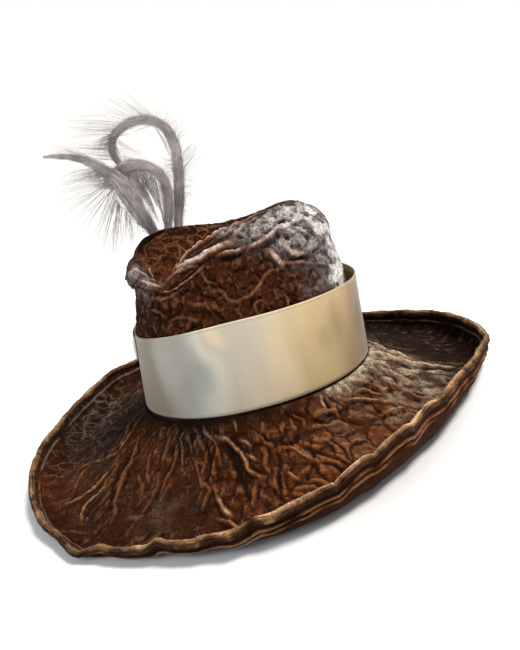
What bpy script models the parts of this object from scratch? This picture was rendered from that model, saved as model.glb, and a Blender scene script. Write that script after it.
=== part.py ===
# A wide-brimmed fedora of crushed velvet: a dented crown, a wavy brim with a rolled edge,
# a wide satin band with a small fold at its left end, and a plume of curled feathers.
# The hat rests on its brim at z = 0. Its front is at -X and its left side at -Y.
# Tables are in millimetres and degrees; angles run from +X towards +Y, seen from above.

import math

import bmesh
import bpy
import numpy as np
from mathutils import Matrix

millimetre = 0.001

# Driving sizes, in millimetres
band_level = 48.0
crown_wall = 2.5
brim_wall = 3.0
band_wall = 1.0
roll_radius = 3.2
seam_gap = 0.45
roll_gap = 0.55
band_gap = 0.45
fold_gap = 0.6
oval_power = 2.15
contact_sink = 0.7
floor_side = 600.0
floor_depth = 20.0
hat_centre = (-0.646, 4.804)

# Counts of the faceted surfaces
crown_sides = 56
brim_sides = 80
feather_steps = {"quills": 5, "outer_loop": 22, "inner_arch": 14, "low_vane": 14}

# Where the brim's sections lie: shares of its slope, of its upturned edge, of the crown's
# shoulder and of the dent's inner side.
slope_shares = (0.09, 0.2, 0.33, 0.46, 0.6, 0.74, 0.88, 0.96)
upturn_shares = (0.0, 0.2, 0.45, 0.72, 1.0)
shoulder_shares = (0.16, 0.32, 0.48, 0.64, 0.8, 1.0)
dent_shares = (0.12, 0.3, 0.6, 1.0)

# The brim leaves the crown level, then falls to a low ring that lies inside the rim by
# ring_inset and by ring_inset_rise for each millimetre of the rim's height.
seam_level = -2.3
seam_ledge = 1.5
ring_inset = 12.0
ring_inset_rise = 0.4
straight_share = 0.35
hollow_power = 2.1
upturn_bulge = 0.1
upturn_steps = 40


def table(columns, *rows):
    """Columns of numbers by name, from a row for each section."""
    values = np.array(rows, float).T
    return dict(zip(columns.split(), values))


# The brim's rim, a row for each section round the hat. radius and height give the middle
# of the rolled edge, and lift is how far the low ring inside it stands off the floor.
rim = table(
    "angle radius height lift",
    (0, 210, 23, 1.0),
    (20, 211, 21.5, 2.6),
    (40, 203, 15.5, 1.2),
    (60, 199, 12, 0.0),
    (90, 198, 12, 0.0),
    (115, 207, 18, 2.2),
    (135, 216, 25.5, 3.0),
    (150, 213, 22.5, 0.8),
    (165, 211.5, 20.5, 0.0),
    (180, 213, 21.5, 0.6),
    (195, 215.5, 16, 1.4),
    (210, 215, 10.5, 0.0),
    (222, 212, 9, 0.0),
    (233, 202, 11.5, 0.4),
    (250, 193.5, 17.5, 1.4),
    (262, 190.5, 22, 0.8),
    (275, 186, 28, 0.0),
    (290, 180, 35, 0.0),
    (305, 175, 38, 0.0),
    (320, 177, 38, 0.4),
    (335, 183.5, 35, 1.0),
    (350, 198, 29, 1.4),
)

# Scallops of the rolled edge on the near right, a row for each puckered stretch.
scallops = table(
    "start end rise",
    (262, 281, 2.5),
    (281, 292, 4.0),
    (292, 305, 3.0),
    (305, 319, 3.5),
    (319, 338, 4.0),
    (338, 357, 3.0),
)

scallop_fullness = 0.7

# Long folds of the brim, from their angle and reach near the band to those near the rim.
# A reach of 0 is at the band and 1 at the low ring.
brim_folds = table(
    "angle_in angle_out reach_in reach_out height spread",
    (30, 24, 0.15, 0.80, 2.4, 7),
    (95, 92, 0.15, 0.75, 2.2, 8),
    (140, 148, 0.15, 0.85, 2.4, 7),
    (192, 222, 0.08, 0.95, 3.6, 6),
    (225, 236, 0.25, 0.90, 2.2, 5),
    (246, 252, 0.20, 0.80, 2.6, 5),
    (268, 264, 0.15, 0.75, 3.0, 5),
    (295, 288, 0.30, 0.90, 2.4, 6),
    (322, 316, 0.15, 0.80, 2.6, 6),
    (352, 349, 0.10, 0.90, 3.4, 6),
)

# The crown's wall, measured up from the band's lower edge.
wall = table(
    "height left right near far",
    (-4, -101.5, 101.5, -78.5, 78.5),
    (36, -94.5, 97.5, -75.0, 75.8),
    (76, -87.5, 94.5, -71.5, 73.0),
    (93, -83.0, 92.6, -66.0, 69.0),
    (104, -80.5, 91.0, -60.0, 65.0),
)

# The crown's lip round the dent, by the wall angle that each point rises from. The pinch
# is the low point at 221 degrees; swell is how far the cloth hangs out over the wall.
lip = table(
    "angle x y height swell",
    (0, 62, 12, 138, 3.5),
    (25, 58, 24, 137, 2.0),
    (48, 44, 38, 132, 0.5),
    (70, 20, 47, 128.5, 0.5),
    (92, -4, 52, 128.5, 0.5),
    (115, -28, 54, 133, 1.0),
    (135, -50, 52, 135, 2.5),
    (155, -69, 40, 132, 5.5),
    (175, -75, 18, 125, 6.0),
    (195, -73, -8, 118, 4.5),
    (210, -64, -24, 112, 2.5),
    (221, -54, -31, 108, 0.0),
    (234, -38, -29, 118, 0.0),
    (248, -22, -26, 128, 0.5),
    (268, -2, -22, 134, 1.0),
    (290, 18, -15, 137, 1.0),
    (315, 38, -5, 139, 1.0),
    (340, 54, 4, 139, 2.5),
)

swell_top = 0.7

# The bottom of the dent is a narrow trough between two ends.
trough_front = (-58.0, 2.0)
trough_back = (30.0, 14.0)
trough_level = 98.0
trough_half_width = 6.0
trough_sag = 0.5

# Pleats that sweep along the near lip, by how far up the shoulder they lie.
lip_pleats = table(
    "start end rise_start rise_end height",
    (222, 330, 0.62, 0.80, 2.4),
    (228, 318, 0.30, 0.45, 2.2),
)

pleat_spread = 0.12

# The band, a row for each section: its two edges above the band level, and how far its
# upper edge stands off the crown.
band = table(
    "angle lower upper stand",
    (0, 0.4, 69, 9.5),
    (40, 0.4, 70, 8.0),
    (90, 0.4, 71, 7.0),
    (130, 0.4, 70, 6.5),
    (170, 1.4, 67, 2.6),
    (190, 2.4, 67, 1.6),
    (220, 2.6, 72, 1.4),
    (250, 2.0, 76, 1.6),
    (285, 1.6, 76, 2.4),
    (320, 1.2, 74, 5.0),
    (345, 0.6, 71, 8.5),
)

# The fold of ribbon at the band's left end.
fold_start = 146.0
fold_end = 186.0
fold_lower = 27.0
fold_upper = 64.0
fold_bulge = 4.6
fold_edge = 0.45
fold_taper = 0.45
fold_steps = 12
fold_shares = (0.0, 0.33, 0.67, 1.0)

# The feathers: a row for each bend, with half the feather's width there. Heights are
# above the band level.
outer_loop = table(
    "x y height half_width",
    (-43, 73, 104, 1.8),
    (-36, 78, 129, 4.6),
    (-28, 80, 155, 5.4),
    (-21.5, 81, 180, 5.5),
    (-18.5, 81, 203, 5.3),
    (-23, 82, 219, 5.0),
    (-38, 82, 229, 4.5),
    (-57, 81, 229, 4.2),
    (-70, 80, 221, 3.6),
    (-74, 79, 209, 3.2),
    (-71, 78, 199, 2.4),
    (-65, 78, 195, 1.0),
)
inner_arch = table(
    "x y height half_width",
    (-46, 72, 104, 1.8),
    (-45, 74, 131, 4.2),
    (-38, 74, 155, 5.2),
    (-36, 74, 172, 5.0),
    (-43, 73, 187, 4.8),
    (-56, 73, 194, 5.4),
    (-70, 72, 194, 6.4),
    (-80, 72, 189, 3.0),
)
low_vane = table(
    "x y height half_width",
    (-48, 71, 104, 1.8),
    (-58, 69, 130, 4.6),
    (-65, 67, 150, 8.0),
    (-70, 66, 168, 9.4),
    (-76, 65, 186, 8.4),
    (-89, 64, 202, 4.2),
    (-103, 63, 213, 2.8),
    (-118, 62, 219, 2.0),
    (-131, 61, 222, 0.8),
)
quill = table(
    "x y height half_width",
    (-46, 67.75, 52, 1.6),
    (-46, 65.7, 70, 2.2),
    (-46, 67.0, 88, 2.6),
    (-46, 72.0, 108, 3.6),
)
plume_flatness = 0.5

# Bundles of long barbs, from their root on a feather to their tip.
barb_locks = table(
    "root_x root_height tip_x tip_height depth",
    (-40, 229, -52, 250, 82),
    (-20, 214, 0, 196, 81),
    (-60, 228, -88, 236, 80),
    (-88, 200, -126, 190, 64),
    (-82, 180, -118, 152, 65),
    (-76, 168, -98, 122, 66),
    (-70, 155, -82, 120, 67),
)
barb_root_radius = 1.6
barb_tip_radius = 0.4


def loopValues(rows, column, degrees):
    """A column read smoothly at any angle round the hat."""
    angles, values = rows["angle"], rows[column]
    angles = np.concatenate((angles[-2:] - 360, angles, angles[:2] + 360))
    values = np.concatenate((values[-2:], values, values[:2]))
    return smoothValues(angles, values, np.mod(degrees, 360.0))


def smoothValues(places, values, at):
    """Values on a smooth curve through the given ones."""
    slopes = np.gradient(values, places, axis=0)
    span = np.clip(np.searchsorted(places, at, side="right") - 1, 0, len(places) - 2)
    width = places[span + 1] - places[span]
    t = (at - places[span]) / width
    start = (2 * t**3 - 3 * t**2 + 1) * values[span] + (t**3 - 2 * t**2 + t) * width * slopes[span]
    end = (3 * t**2 - 2 * t**3) * values[span + 1] + (t**3 - t**2) * width * slopes[span + 1]
    return start + end


def ovalReach(left, right, near, far, degrees):
    """A point on a soft oval that touches four sides."""
    half = np.array([(right - left) / 2, (far - near) / 2])
    centre = np.array([(right + left) / 2, (far + near) / 2])
    c, s = math.cos(math.radians(degrees)), math.sin(math.radians(degrees))
    reach = (abs(c / half[0]) ** oval_power + abs(s / half[1]) ** oval_power) ** (-1 / oval_power)
    return centre + reach * np.array([c, s])


def wallPoint(degrees, height):
    """A point on the crown's outer wall."""
    sides = [np.interp(height, wall["height"], wall[side]) for side in ("left", "right", "near", "far")]
    x, y = ovalReach(*sides, degrees)
    return np.array([x, y, height])


def outward(degrees, height):
    """The level direction that leaves the crown's wall."""
    ahead = wallPoint(degrees + 1, height) - wallPoint(degrees - 1, height)
    return np.array([ahead[1], -ahead[0], 0]) / np.hypot(ahead[0], ahead[1])


def evenAngles(count):
    return [360.0 * step / count for step in range(count)]


def meshObject(name, points, faces, surface, collection):
    """An object from points in millimetres."""
    mesh = bpy.data.meshes.new(name)
    mesh.from_pydata([tuple(np.asarray(point) * millimetre) for point in points], [], faces)
    mesh.validate()
    made = bpy.data.objects.new(name, mesh)
    made.data.materials.append(surface)
    collection.objects.link(made)
    return made


def loftRings(rings, closed=True):
    """Points and faces of a surface through rings of equal length."""
    count = len(rings[0])
    points = [point for ring in rings for point in ring]
    faces = []
    for row in range(len(rings) - 1):
        for step in range(count if closed else count - 1):
            after = (step + 1) % count
            faces.append((row * count + step, row * count + after,
                          (row + 1) * count + after, (row + 1) * count + step))
    return points, faces


def solidify(made, thickness, offset):
    shell = made.modifiers.new("wall", "SOLIDIFY")
    shell.thickness = thickness * millimetre
    shell.offset = offset
    shell.use_even_offset = True
    shell.use_rim = True
    return shell


def material(name, colour, roughness, metallic=0.0):
    made = bpy.data.materials.new(name)
    made.use_nodes = True
    shader = made.node_tree.nodes["Principled BSDF"]
    shader.inputs["Base Color"].default_value = (*colour, 1.0)
    shader.inputs["Roughness"].default_value = roughness
    shader.inputs["Metallic"].default_value = metallic
    made.diffuse_color = (*colour, 1.0)
    return made


def bump(distance, spread):
    return math.exp(-((distance / spread) ** 2))


def turnBetween(first, second):
    """The signed angle from one direction to another, within half a turn."""
    return (first - second + 180.0) % 360.0 - 180.0


def scallopRise(degrees):
    """How far the puckered edge rises at this angle."""
    for start, end, rise in zip(scallops["start"], scallops["end"], scallops["rise"]):
        if start <= degrees <= end:
            along = (degrees - start) / (end - start)
            return rise * (math.sin(math.pi * along) ** scallop_fullness - 0.5)
    return 0.0


def rimPoint(degrees):
    """Radius and height of the rolled edge's middle."""
    radius = loopValues(rim, "radius", degrees)
    height = loopValues(rim, "height", degrees) + scallopRise(degrees)
    return np.array([radius, height])


def brimSection(degrees):
    """Radius and height of the brim's middle surface, from the crown out to the edge."""
    foot = wallPoint(degrees, seam_level)
    inner = np.array([np.hypot(foot[0], foot[1]) + seam_gap, band_level + seam_level])
    ledge = inner + np.array([seam_ledge, 0.0])
    crest = rimPoint(degrees)
    low_level = brim_wall / 2 - contact_sink + loopValues(rim, "lift", degrees)
    low = np.array([crest[0] - ring_inset - ring_inset_rise * crest[1], low_level])
    section = [inner, ledge]
    for reach in slope_shares:
        drop = straight_share * (1 - reach) + (1 - straight_share) * (1 - reach) ** hollow_power
        height = low_level + drop * (inner[1] - low_level)
        for fold in range(len(brim_folds["height"])):
            across, level = foldShare(fold, degrees, reach)
            height += level * brim_folds["height"][fold] * bump(across, brim_folds["spread"][fold])
        section.append(np.array([ledge[0] + reach * (low[0] - ledge[0]), height]))
    rise = upturn(low, crest)
    section += [rise[round(share * (len(rise) - 1))] for share in upturn_shares]
    return section


def upturn(low, crest):
    """The curve from the low ring up to where the rolled edge begins."""
    corner = np.array([crest[0] - upturn_bulge * (crest[0] - low[0]), low[1]])
    curve = []
    for t in np.linspace(0, 1, upturn_steps + 1):
        curve.append((1 - t) ** 2 * low + 2 * t * (1 - t) * corner + t**2 * crest)
    return [point for point in curve if np.linalg.norm(crest - point) >= roll_radius + roll_gap]


def foldShare(fold, degrees, reach):
    """How far round a place lies from a fold's ridge, and the fold's strength there."""
    start, end = brim_folds["reach_in"][fold], brim_folds["reach_out"][fold]
    along = (reach - start) / (end - start)
    ridge = brim_folds["angle_in"][fold]
    ridge += np.clip(along, 0, 1) * turnBetween(brim_folds["angle_out"][fold], ridge)
    level = math.sin(math.pi * along) if 0 < along < 1 else 0.0
    return turnBetween(degrees, ridge), level


def atAngle(radius, height, degrees):
    turn = math.radians(degrees)
    return np.array([radius * math.cos(turn), radius * math.sin(turn), height])


def makeBrim(collection, cutters):
    sections = []
    for degrees in evenAngles(brim_sides):
        sections.append([atAngle(radius, height, degrees) for radius, height in brimSection(degrees)])
    rings = [list(ring) for ring in zip(*sections)]
    points, faces = loftRings(rings)
    velvet = material("brim_velvet", (0.115, 0.042, 0.022), 0.85)
    brim = meshObject("brim", points, faces, velvet, collection)
    solidify(brim, brim_wall, 0.0)
    bpy.ops.mesh.primitive_cube_add(size=1, location=(0, 0, -floor_depth * millimetre / 2))
    floor_cutter = bpy.context.object
    floor_cutter.name = "floor_cutter"
    floor_cutter.scale = (floor_side * millimetre, floor_side * millimetre, floor_depth * millimetre)
    moveToCutters(floor_cutter, cutters)
    flatten = brim.modifiers.new("flattened_where_it_rests", "BOOLEAN")
    flatten.operation = "DIFFERENCE"
    flatten.solver = "EXACT"
    flatten.object = floor_cutter
    return brim


def moveToCutters(made, cutters):
    for owner in list(made.users_collection):
        owner.objects.unlink(made)
    cutters.objects.link(made)
    made.hide_render = True
    made.display_type = "WIRE"


def tubeObject(name, path, radii, closed, resolution, collection):
    """A round tube along a path in millimetres, as a mesh with welded caps."""
    curve = bpy.data.curves.new(name, "CURVE")
    curve.dimensions = "3D"
    curve.bevel_depth = millimetre
    curve.bevel_resolution = resolution
    curve.use_fill_caps = not closed
    spline = curve.splines.new("POLY")
    spline.points.add(len(path) - 1)
    for point, place, radius in zip(spline.points, path, radii):
        point.co = (*(np.asarray(place) * millimetre), 1.0)
        point.radius = radius
    spline.use_cyclic_u = closed
    drawn = bpy.data.objects.new(name + "_path", curve)
    collection.objects.link(drawn)
    bpy.context.view_layer.update()
    evaluated = drawn.evaluated_get(bpy.context.evaluated_depsgraph_get())
    mesh = bpy.data.meshes.new_from_object(evaluated)
    work = bmesh.new()
    work.from_mesh(mesh)
    bmesh.ops.remove_doubles(work, verts=work.verts, dist=0.00001)
    bmesh.ops.recalc_face_normals(work, faces=work.faces)
    work.to_mesh(mesh)
    work.free()
    made = bpy.data.objects.new(name, mesh)
    made.matrix_world = drawn.matrix_world
    collection.objects.link(made)
    bpy.data.objects.remove(drawn)
    return made


def makeEdgeRoll(collection):
    path = [atAngle(*rimPoint(degrees), degrees) for degrees in evenAngles(brim_sides)]
    roll = tubeObject("edge_roll", path, [roll_radius] * len(path), True, 2, collection)
    setMaterial(roll, material("edge_velvet", (0.36, 0.24, 0.14), 0.8))
    return roll


def setMaterial(made, surface):
    made.data.materials.clear()
    made.data.materials.append(surface)


def shoulderPoint(degrees, share):
    """A point between the top of the wall and the lip, in a rounded sweep."""
    top = wallPoint(degrees, wall["height"][-1])
    crest = np.array([loopValues(lip, column, degrees) for column in ("x", "y", "height")])
    turn = share * math.pi / 2
    level = crest + (top - crest) * math.cos(turn)
    height = top[2] + (crest[2] - top[2]) * math.sin(turn)
    swell = loopValues(lip, "swell", degrees) * math.sin(math.pi * min(1.0, share / swell_top))
    place = np.array([level[0], level[1], height]) + outward(degrees, top[2]) * swell
    for pleat in range(len(lip_pleats["height"])):
        start, end = lip_pleats["start"][pleat], lip_pleats["end"][pleat]
        along = (degrees - start) / (end - start)
        if 0 < along < 1:
            rise = lip_pleats["rise_start"][pleat] * (1 - along) + lip_pleats["rise_end"][pleat] * along
            level = lip_pleats["height"][pleat] * math.sin(math.pi * along)
            place[2] += level * bump(share - rise, pleat_spread)
    return place


def dentPoint(degrees, share):
    """A point on the dent's inner side, from the lip down to the trough."""
    crest = shoulderPoint(degrees, 1.0)
    turn = math.radians(degrees)
    forward = (1 - math.cos(turn)) / 2
    middle = np.array(trough_back) * (1 - forward) + np.array(trough_front) * forward
    bottom = np.array([middle[0], middle[1] + trough_half_width * math.sin(turn), trough_level])
    level = crest + (bottom - crest) * share
    height = crest[2] + (bottom[2] - crest[2]) * math.sin(share * math.pi / 2)
    return np.array([level[0], level[1], height])


def makeCrown(collection):
    angles = evenAngles(crown_sides)
    rings = [[wallPoint(degrees, height) for degrees in angles] for height in wall["height"]]
    rings += [[shoulderPoint(degrees, share) for degrees in angles] for share in shoulder_shares]
    rings += [[dentPoint(degrees, share) for degrees in angles] for share in dent_shares]
    points, faces = loftRings(rings)
    bottom = len(points)
    trough = (np.array(trough_front) + np.array(trough_back)) / 2
    points.append(np.array([trough[0], trough[1], trough_level - trough_sag]))
    first = bottom - crown_sides
    faces += [(first + step, first + (step + 1) % crown_sides, bottom) for step in range(crown_sides)]
    points = [point + np.array([0, 0, band_level]) for point in points]
    velvet = material("crown_velvet", (0.15, 0.06, 0.032), 0.85)
    crown = meshObject("crown", points, faces, velvet, collection)
    solidify(crown, crown_wall, -1.0)
    return crown


def bandPoint(degrees, share):
    """A point on the band's inner face, from its lower edge to its upper edge."""
    lower = loopValues(band, "lower", degrees)
    upper = loopValues(band, "upper", degrees)
    height = lower + share * (upper - lower)
    stand = band_gap + share * (loopValues(band, "stand", degrees) - band_gap)
    return wallPoint(degrees, height) + outward(degrees, height) * stand


def makeBand(collection):
    angles = evenAngles(crown_sides)
    rings = [[bandPoint(degrees, share) for degrees in angles] for share in (0.0, 0.5, 1.0)]
    points, faces = loftRings(rings)
    points = [point + np.array([0, 0, band_level]) for point in points]
    satin = material("band_satin", (0.68, 0.55, 0.38), 0.35)
    made = meshObject("band", points, faces, satin, collection)
    solidify(made, band_wall, 1.0)
    return made


def makeBandFold(collection):
    """A short arch of ribbon that narrows towards its front end."""
    rings = []
    for share in fold_shares:
        ring = []
        for step in range(fold_steps + 1):
            along = step / fold_steps
            degrees = fold_start + along * (fold_end - fold_start)
            height = fold_upper + (fold_lower - fold_upper) * (1 - share) * (1 - fold_taper * along**2)
            arch = math.sin(math.pi * along) * (fold_edge + (1 - fold_edge) * math.sin(math.pi * share))
            stand = band_wall + fold_gap + fold_bulge * arch
            lower, upper = loopValues(band, "lower", degrees), loopValues(band, "upper", degrees)
            face = bandPoint(degrees, (height - lower) / (upper - lower))
            ring.append(face + outward(degrees, height) * stand)
        rings.append(ring)
    points, faces = loftRings(rings, closed=False)
    points = [point + np.array([0, 0, band_level]) for point in points]
    satin = material("fold_satin", (0.66, 0.60, 0.50), 0.4)
    made = meshObject("band_fold", points, faces, satin, collection)
    solidify(made, band_wall, 1.0)
    return made


def featherPath(rows, steps):
    """A smooth path through a feather's rows, with its half width at each step."""
    places = np.stack([rows["x"], rows["y"] / plume_flatness, rows["height"] + band_level], axis=1)
    lengths = np.linalg.norm(np.diff(places, axis=0), axis=1)
    along = np.concatenate(([0.0], np.cumsum(lengths)))
    at = np.linspace(0, along[-1], steps + 1)
    path = np.stack([smoothValues(along, places[:, axis], at) for axis in range(3)], axis=1)
    return path, np.maximum(smoothValues(along, rows["half_width"], at), barb_tip_radius)


def makePlume(collection):
    """Three feathers and their barbs, fused to the quills that hold them."""
    pieces = []
    feathers = {"quills": quill, "outer_loop": outer_loop, "inner_arch": inner_arch, "low_vane": low_vane}
    for name, rows in feathers.items():
        path, widths = featherPath(rows, feather_steps[name])
        pieces.append(tubeObject(name, path, widths, False, 2, collection))
    for row in range(len(barb_locks["depth"])):
        deep = barb_locks["depth"][row] / plume_flatness
        root = (barb_locks["root_x"][row], deep, barb_locks["root_height"][row] + band_level)
        tip = (barb_locks["tip_x"][row], deep, barb_locks["tip_height"][row] + band_level)
        radii = (barb_root_radius, barb_tip_radius)
        pieces.append(tubeObject("barb_lock", (root, tip), radii, False, 1, collection))
    plume = pieces[0]
    plume.name = "plume"
    for piece in pieces[1:]:
        fuse(plume, piece)
    plume.data.transform(Matrix.Diagonal((1.0, plume_flatness, 1.0, 1.0)))
    setMaterial(plume, material("feather", (0.20, 0.16, 0.165), 0.75))
    return plume


def fuse(body, piece):
    """Joins a piece to a body and removes the piece."""
    join = body.modifiers.new("fuse", "BOOLEAN")
    join.operation = "UNION"
    join.solver = "EXACT"
    join.object = piece
    bpy.context.view_layer.update()
    evaluated = body.evaluated_get(bpy.context.evaluated_depsgraph_get())
    mesh = bpy.data.meshes.new_from_object(evaluated)
    body.modifiers.clear()
    body.data = mesh
    bpy.data.objects.remove(piece)


def clearScene():
    for made in list(bpy.data.objects):
        bpy.data.objects.remove(made)


def newCollection(name):
    made = bpy.data.collections.new(name)
    bpy.context.scene.collection.children.link(made)
    return made


def main():
    clearScene()
    collection = newCollection("fedora")
    cutters = newCollection("cutters")
    pieces = [
        makeCrown(collection),
        makeBrim(collection, cutters),
        makeEdgeRoll(collection),
        makeBand(collection),
        makeBandFold(collection),
        makePlume(collection),
    ]
    for piece in pieces:
        piece.location.x -= hat_centre[0] * millimetre
        piece.location.y -= hat_centre[1] * millimetre


main()
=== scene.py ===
import math

import bmesh
import bpy
import numpy as np
from mathutils import Matrix, Vector, noise


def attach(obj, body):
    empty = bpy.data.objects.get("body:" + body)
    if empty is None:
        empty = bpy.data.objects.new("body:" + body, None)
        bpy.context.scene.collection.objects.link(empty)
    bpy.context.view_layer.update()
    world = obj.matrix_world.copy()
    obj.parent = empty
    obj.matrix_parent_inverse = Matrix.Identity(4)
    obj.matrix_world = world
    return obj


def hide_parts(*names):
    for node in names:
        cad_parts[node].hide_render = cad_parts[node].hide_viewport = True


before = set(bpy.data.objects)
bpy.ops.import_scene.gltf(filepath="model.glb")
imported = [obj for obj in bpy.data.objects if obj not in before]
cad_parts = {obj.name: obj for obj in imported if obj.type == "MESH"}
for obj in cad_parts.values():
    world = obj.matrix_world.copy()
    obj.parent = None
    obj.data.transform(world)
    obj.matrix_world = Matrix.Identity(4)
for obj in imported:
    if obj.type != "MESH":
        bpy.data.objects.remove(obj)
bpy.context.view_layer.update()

# A crushed velvet hat with a satin band and curled feathers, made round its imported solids.
# Tables are in millimetres and degrees. Angles run from +X towards +Y, seen from above.
print("frame: loaded")

millimetre = 0.001
bandLevel = 48.0
hatCentre = (-0.646, 4.804)
chance = np.random.default_rng(41)

# Camera, at the photograph's angle to the hat
cameraLook = {
    "place": (0.014762, -0.602341, 0.306752),
    "elevation": 20.0,
    "roll": -15.0,
    "lens": 40.02,
    "sensor": 36.0,
    "photo": (520, 650),
}


def cameraAxes(look):
    tilt, roll = math.radians(look["elevation"]), math.radians(look["roll"])
    back = np.array((0.0, -math.cos(tilt), math.sin(tilt)))
    level = np.array((1.0, 0.0, 0.0))
    upright = np.cross(back, level)
    right = level * math.cos(roll) + upright * math.sin(roll)
    return right, upright * math.cos(roll) - level * math.sin(roll), back


def makeCamera(look):
    matrix = Matrix([axis.tolist() for axis in cameraAxes(look)]).transposed().to_4x4()
    matrix.translation = look["place"]
    camera = bpy.data.cameras.new("camera")
    camera.lens = look["lens"]
    camera.sensor_width = look["sensor"]
    made = bpy.data.objects.new("camera", camera)
    bpy.context.scene.collection.objects.link(made)
    made.matrix_world = matrix
    bpy.context.scene.camera = made


makeCamera(cameraLook)
print("camera: placed")


# Numbers and curves
def table(columns, *rows):
    return dict(zip(columns.split(), np.array(rows, float).T))


def stacked(*parts):
    return np.stack(parts, -1)


def smoothValues(places, values, at):
    slopes = np.gradient(values, places, axis=0)
    span = np.clip(np.searchsorted(places, at, side="right") - 1, 0, len(places) - 2)
    width = places[span + 1] - places[span]
    t = (at - places[span]) / width
    start = (2 * t**3 - 3 * t**2 + 1) * values[span] + (t**3 - 2 * t**2 + t) * width * slopes[span]
    return start + (3 * t**2 - 2 * t**3) * values[span + 1] + (t**3 - t**2) * width * slopes[span + 1]


def loopValues(rows, column, degrees):
    angles, values = rows["angle"], rows[column]
    angles = np.concatenate((angles[-2:] - 360, angles, angles[:2] + 360))
    values = np.concatenate((values[-2:], values, values[:2]))
    return smoothValues(angles, values, np.mod(degrees, 360.0))


def loopColumns(rows, columns, degrees):
    return [loopValues(rows, column, degrees) for column in columns.split()]


def bump(distance, spread):
    return np.exp(-((distance / spread) ** 2))


def ease(values, start, end):
    share = np.clip((values - start) / (end - start), 0, 1)
    return share * share * (3 - 2 * share)


def turnBetween(first, second):
    return (first - second + 180.0) % 360.0 - 180.0


def unit(vectors):
    return vectors / np.maximum(np.linalg.norm(vectors, axis=-1, keepdims=True), 1e-9)


def evenAngles(count):
    return np.arange(count) * 360.0 / count


def circle(degrees):
    return np.cos(np.radians(degrees)), np.sin(np.radians(degrees))


def lengthsAlong(places):
    return np.append(0.0, np.cumsum(np.linalg.norm(np.diff(places, axis=0), axis=1)))


def bumpAt(degrees, place, spread):
    return bump(turnBetween(degrees, place), spread)


# Places picked in the photograph, in its pixels across and down, and the points of the hat there
rightAxis, upAxis, backAxis = cameraAxes(cameraLook)
photoMiddle = np.array(cameraLook["photo"]) / 2
photoFocus = cameraLook["lens"] / cameraLook["sensor"] * cameraLook["photo"][1]
eye = np.array(cameraLook["place"]) / millimetre + (*hatCentre, 0.0)
pickReach = 2.2  # pixels
pickSpare = 0.6  # pixels
pickDepth = 6.0


def pickedSpots(picked):
    return np.array([pair.split(",") for pair in picked.split()], float)


def photoSpots(points):
    away = points - eye
    depth = -(away @ backAxis)
    offset = stacked(away @ rightAxis, -(away @ upAxis))
    return photoMiddle + photoFocus * offset / depth[..., None], depth


def seenPath(picked, points, spots, depth):
    path = []
    for spot in pickedSpots(picked):
        away = np.linalg.norm(spots - spot, axis=-1)
        close = away < max(pickReach, away.min() + pickSpare)
        close &= depth < depth[close].min() + pickDepth
        share = bump(away[close], 1.0)
        path.append((points[close] * share[:, None]).sum(0) / share.sum())
    return np.array(path)


def pointsAtDepth(picked, depth):
    offset = pickedSpots(picked) - photoMiddle
    lanes = (offset[:, :1] * rightAxis - offset[:, 1:] * upAxis) / photoFocus - backAxis
    return eye + lanes * ((depth - eye[1]) / lanes[:, 1:2])


# Cloth: noise, crushed cells, crumples and traced folds
cellStir = 7.3
ridgePower = 1.4
domeReach, domePower, domeMiddle = 0.55, 0.75, 0.6
wanderSeeds = (11.3, 23.9, 37.1)
fineWander = (6.0, 1.5)
riseLimits = (-2.2, 5.5)
creaseReach = 3
creaseRange = (0.12, 0.9)
# How strong the painted shade in creases and gaps and the painted highlight along traced folds are
creaseShade, gapShade = 1.1, 1.2
foldCrest = 2.4

# How a traced fold is shaped: its taper, the valley beside a ridge with its painted shade, and the painted
# highlight along it
tracing = {
    "wanders": ((9.0, 1.6), (4.0, 0.7)),
    "margin": 12.0,
    "endShare": 0.04,
    "endPower": 0.6,
    "widths": (1.6, 3.0),
    "powers": (1.3, 2.2),
    "valleyPlace": 1.75,
    "valleySpread": 0.55,
    "valleyDepth": 0.22,
    "valleyShade": 0.26,
    "valleyDark": 0.75,
    "highlightSpread": 0.72,
    "uneven": ((0.45, 6.0, 12.7), (0.3, 2.6, 3.3)),
}


def noiseAt(points, size, seed):
    flat = (points.reshape(-1, 3) / size + seed).tolist()
    return np.array([noise.noise(place) for place in flat]).reshape(points.shape[:-1])


def noiseSum(points, layers):
    return sum(height * noiseAt(points, size, seed) for height, size, seed in layers)


def patchy(points, size, seed, low, high):
    return ease(noiseAt(points, size, seed), low, high)


def noiseVectors(points, size, seeds):
    return stacked(*[noiseAt(points, size, seed) for seed in seeds])


def wandered(points, size, reach):
    return points + reach * noiseVectors(points, size, wanderSeeds)


def crushedCells(points, size, seed, width):
    flat = (points.reshape(-1, 3) / size + seed).tolist()
    gaps, leans, tones = np.empty((3, len(flat)))
    for step, place in enumerate(flat):
        distances, centres = noise.voronoi(place)
        tilt = noise.cell_vector(centres[0] * cellStir)
        gaps[step] = distances[1] - distances[0]
        leans[step] = (Vector(place) - centres[0]).dot(tilt - Vector((0.5, 0.5, 0.5)))
        tones[step] = tilt[0] - 0.5
    ridges = np.exp(-((gaps / width) ** ridgePower))
    domes = np.clip(gaps / domeReach, 0, 1) ** domePower - domeMiddle
    return [values.reshape(points.shape[:-1]) for values in (ridges, size * leans, domes, tones)]


def crumpled(points, look):
    bent = wandered(wandered(points, *look["wander"]), *fineWander)
    broken, fineBroken = [patchy(points, *place) for place in look["breaks"]]
    return [crushedCells(bent, *cells) for cells in look["cells"]] + [broken, fineBroken]


def awayFromPath(points, path):
    ends = lengthsAlong(path)
    away, along = np.full(len(points), np.inf), np.zeros(len(points))
    for start, finish, passed in zip(path[:-1], path[1:], ends):
        length = np.linalg.norm(finish - start)
        lane = (finish - start) / max(length, 1e-9)
        reach = np.clip((points - start) @ lane, 0, length)
        distance = np.linalg.norm(points - start - reach[:, None] * lane, axis=1)
        along = np.where(distance < away, passed + reach, along)
        away = np.minimum(away, distance)
    return away, along / ends[-1]


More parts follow.
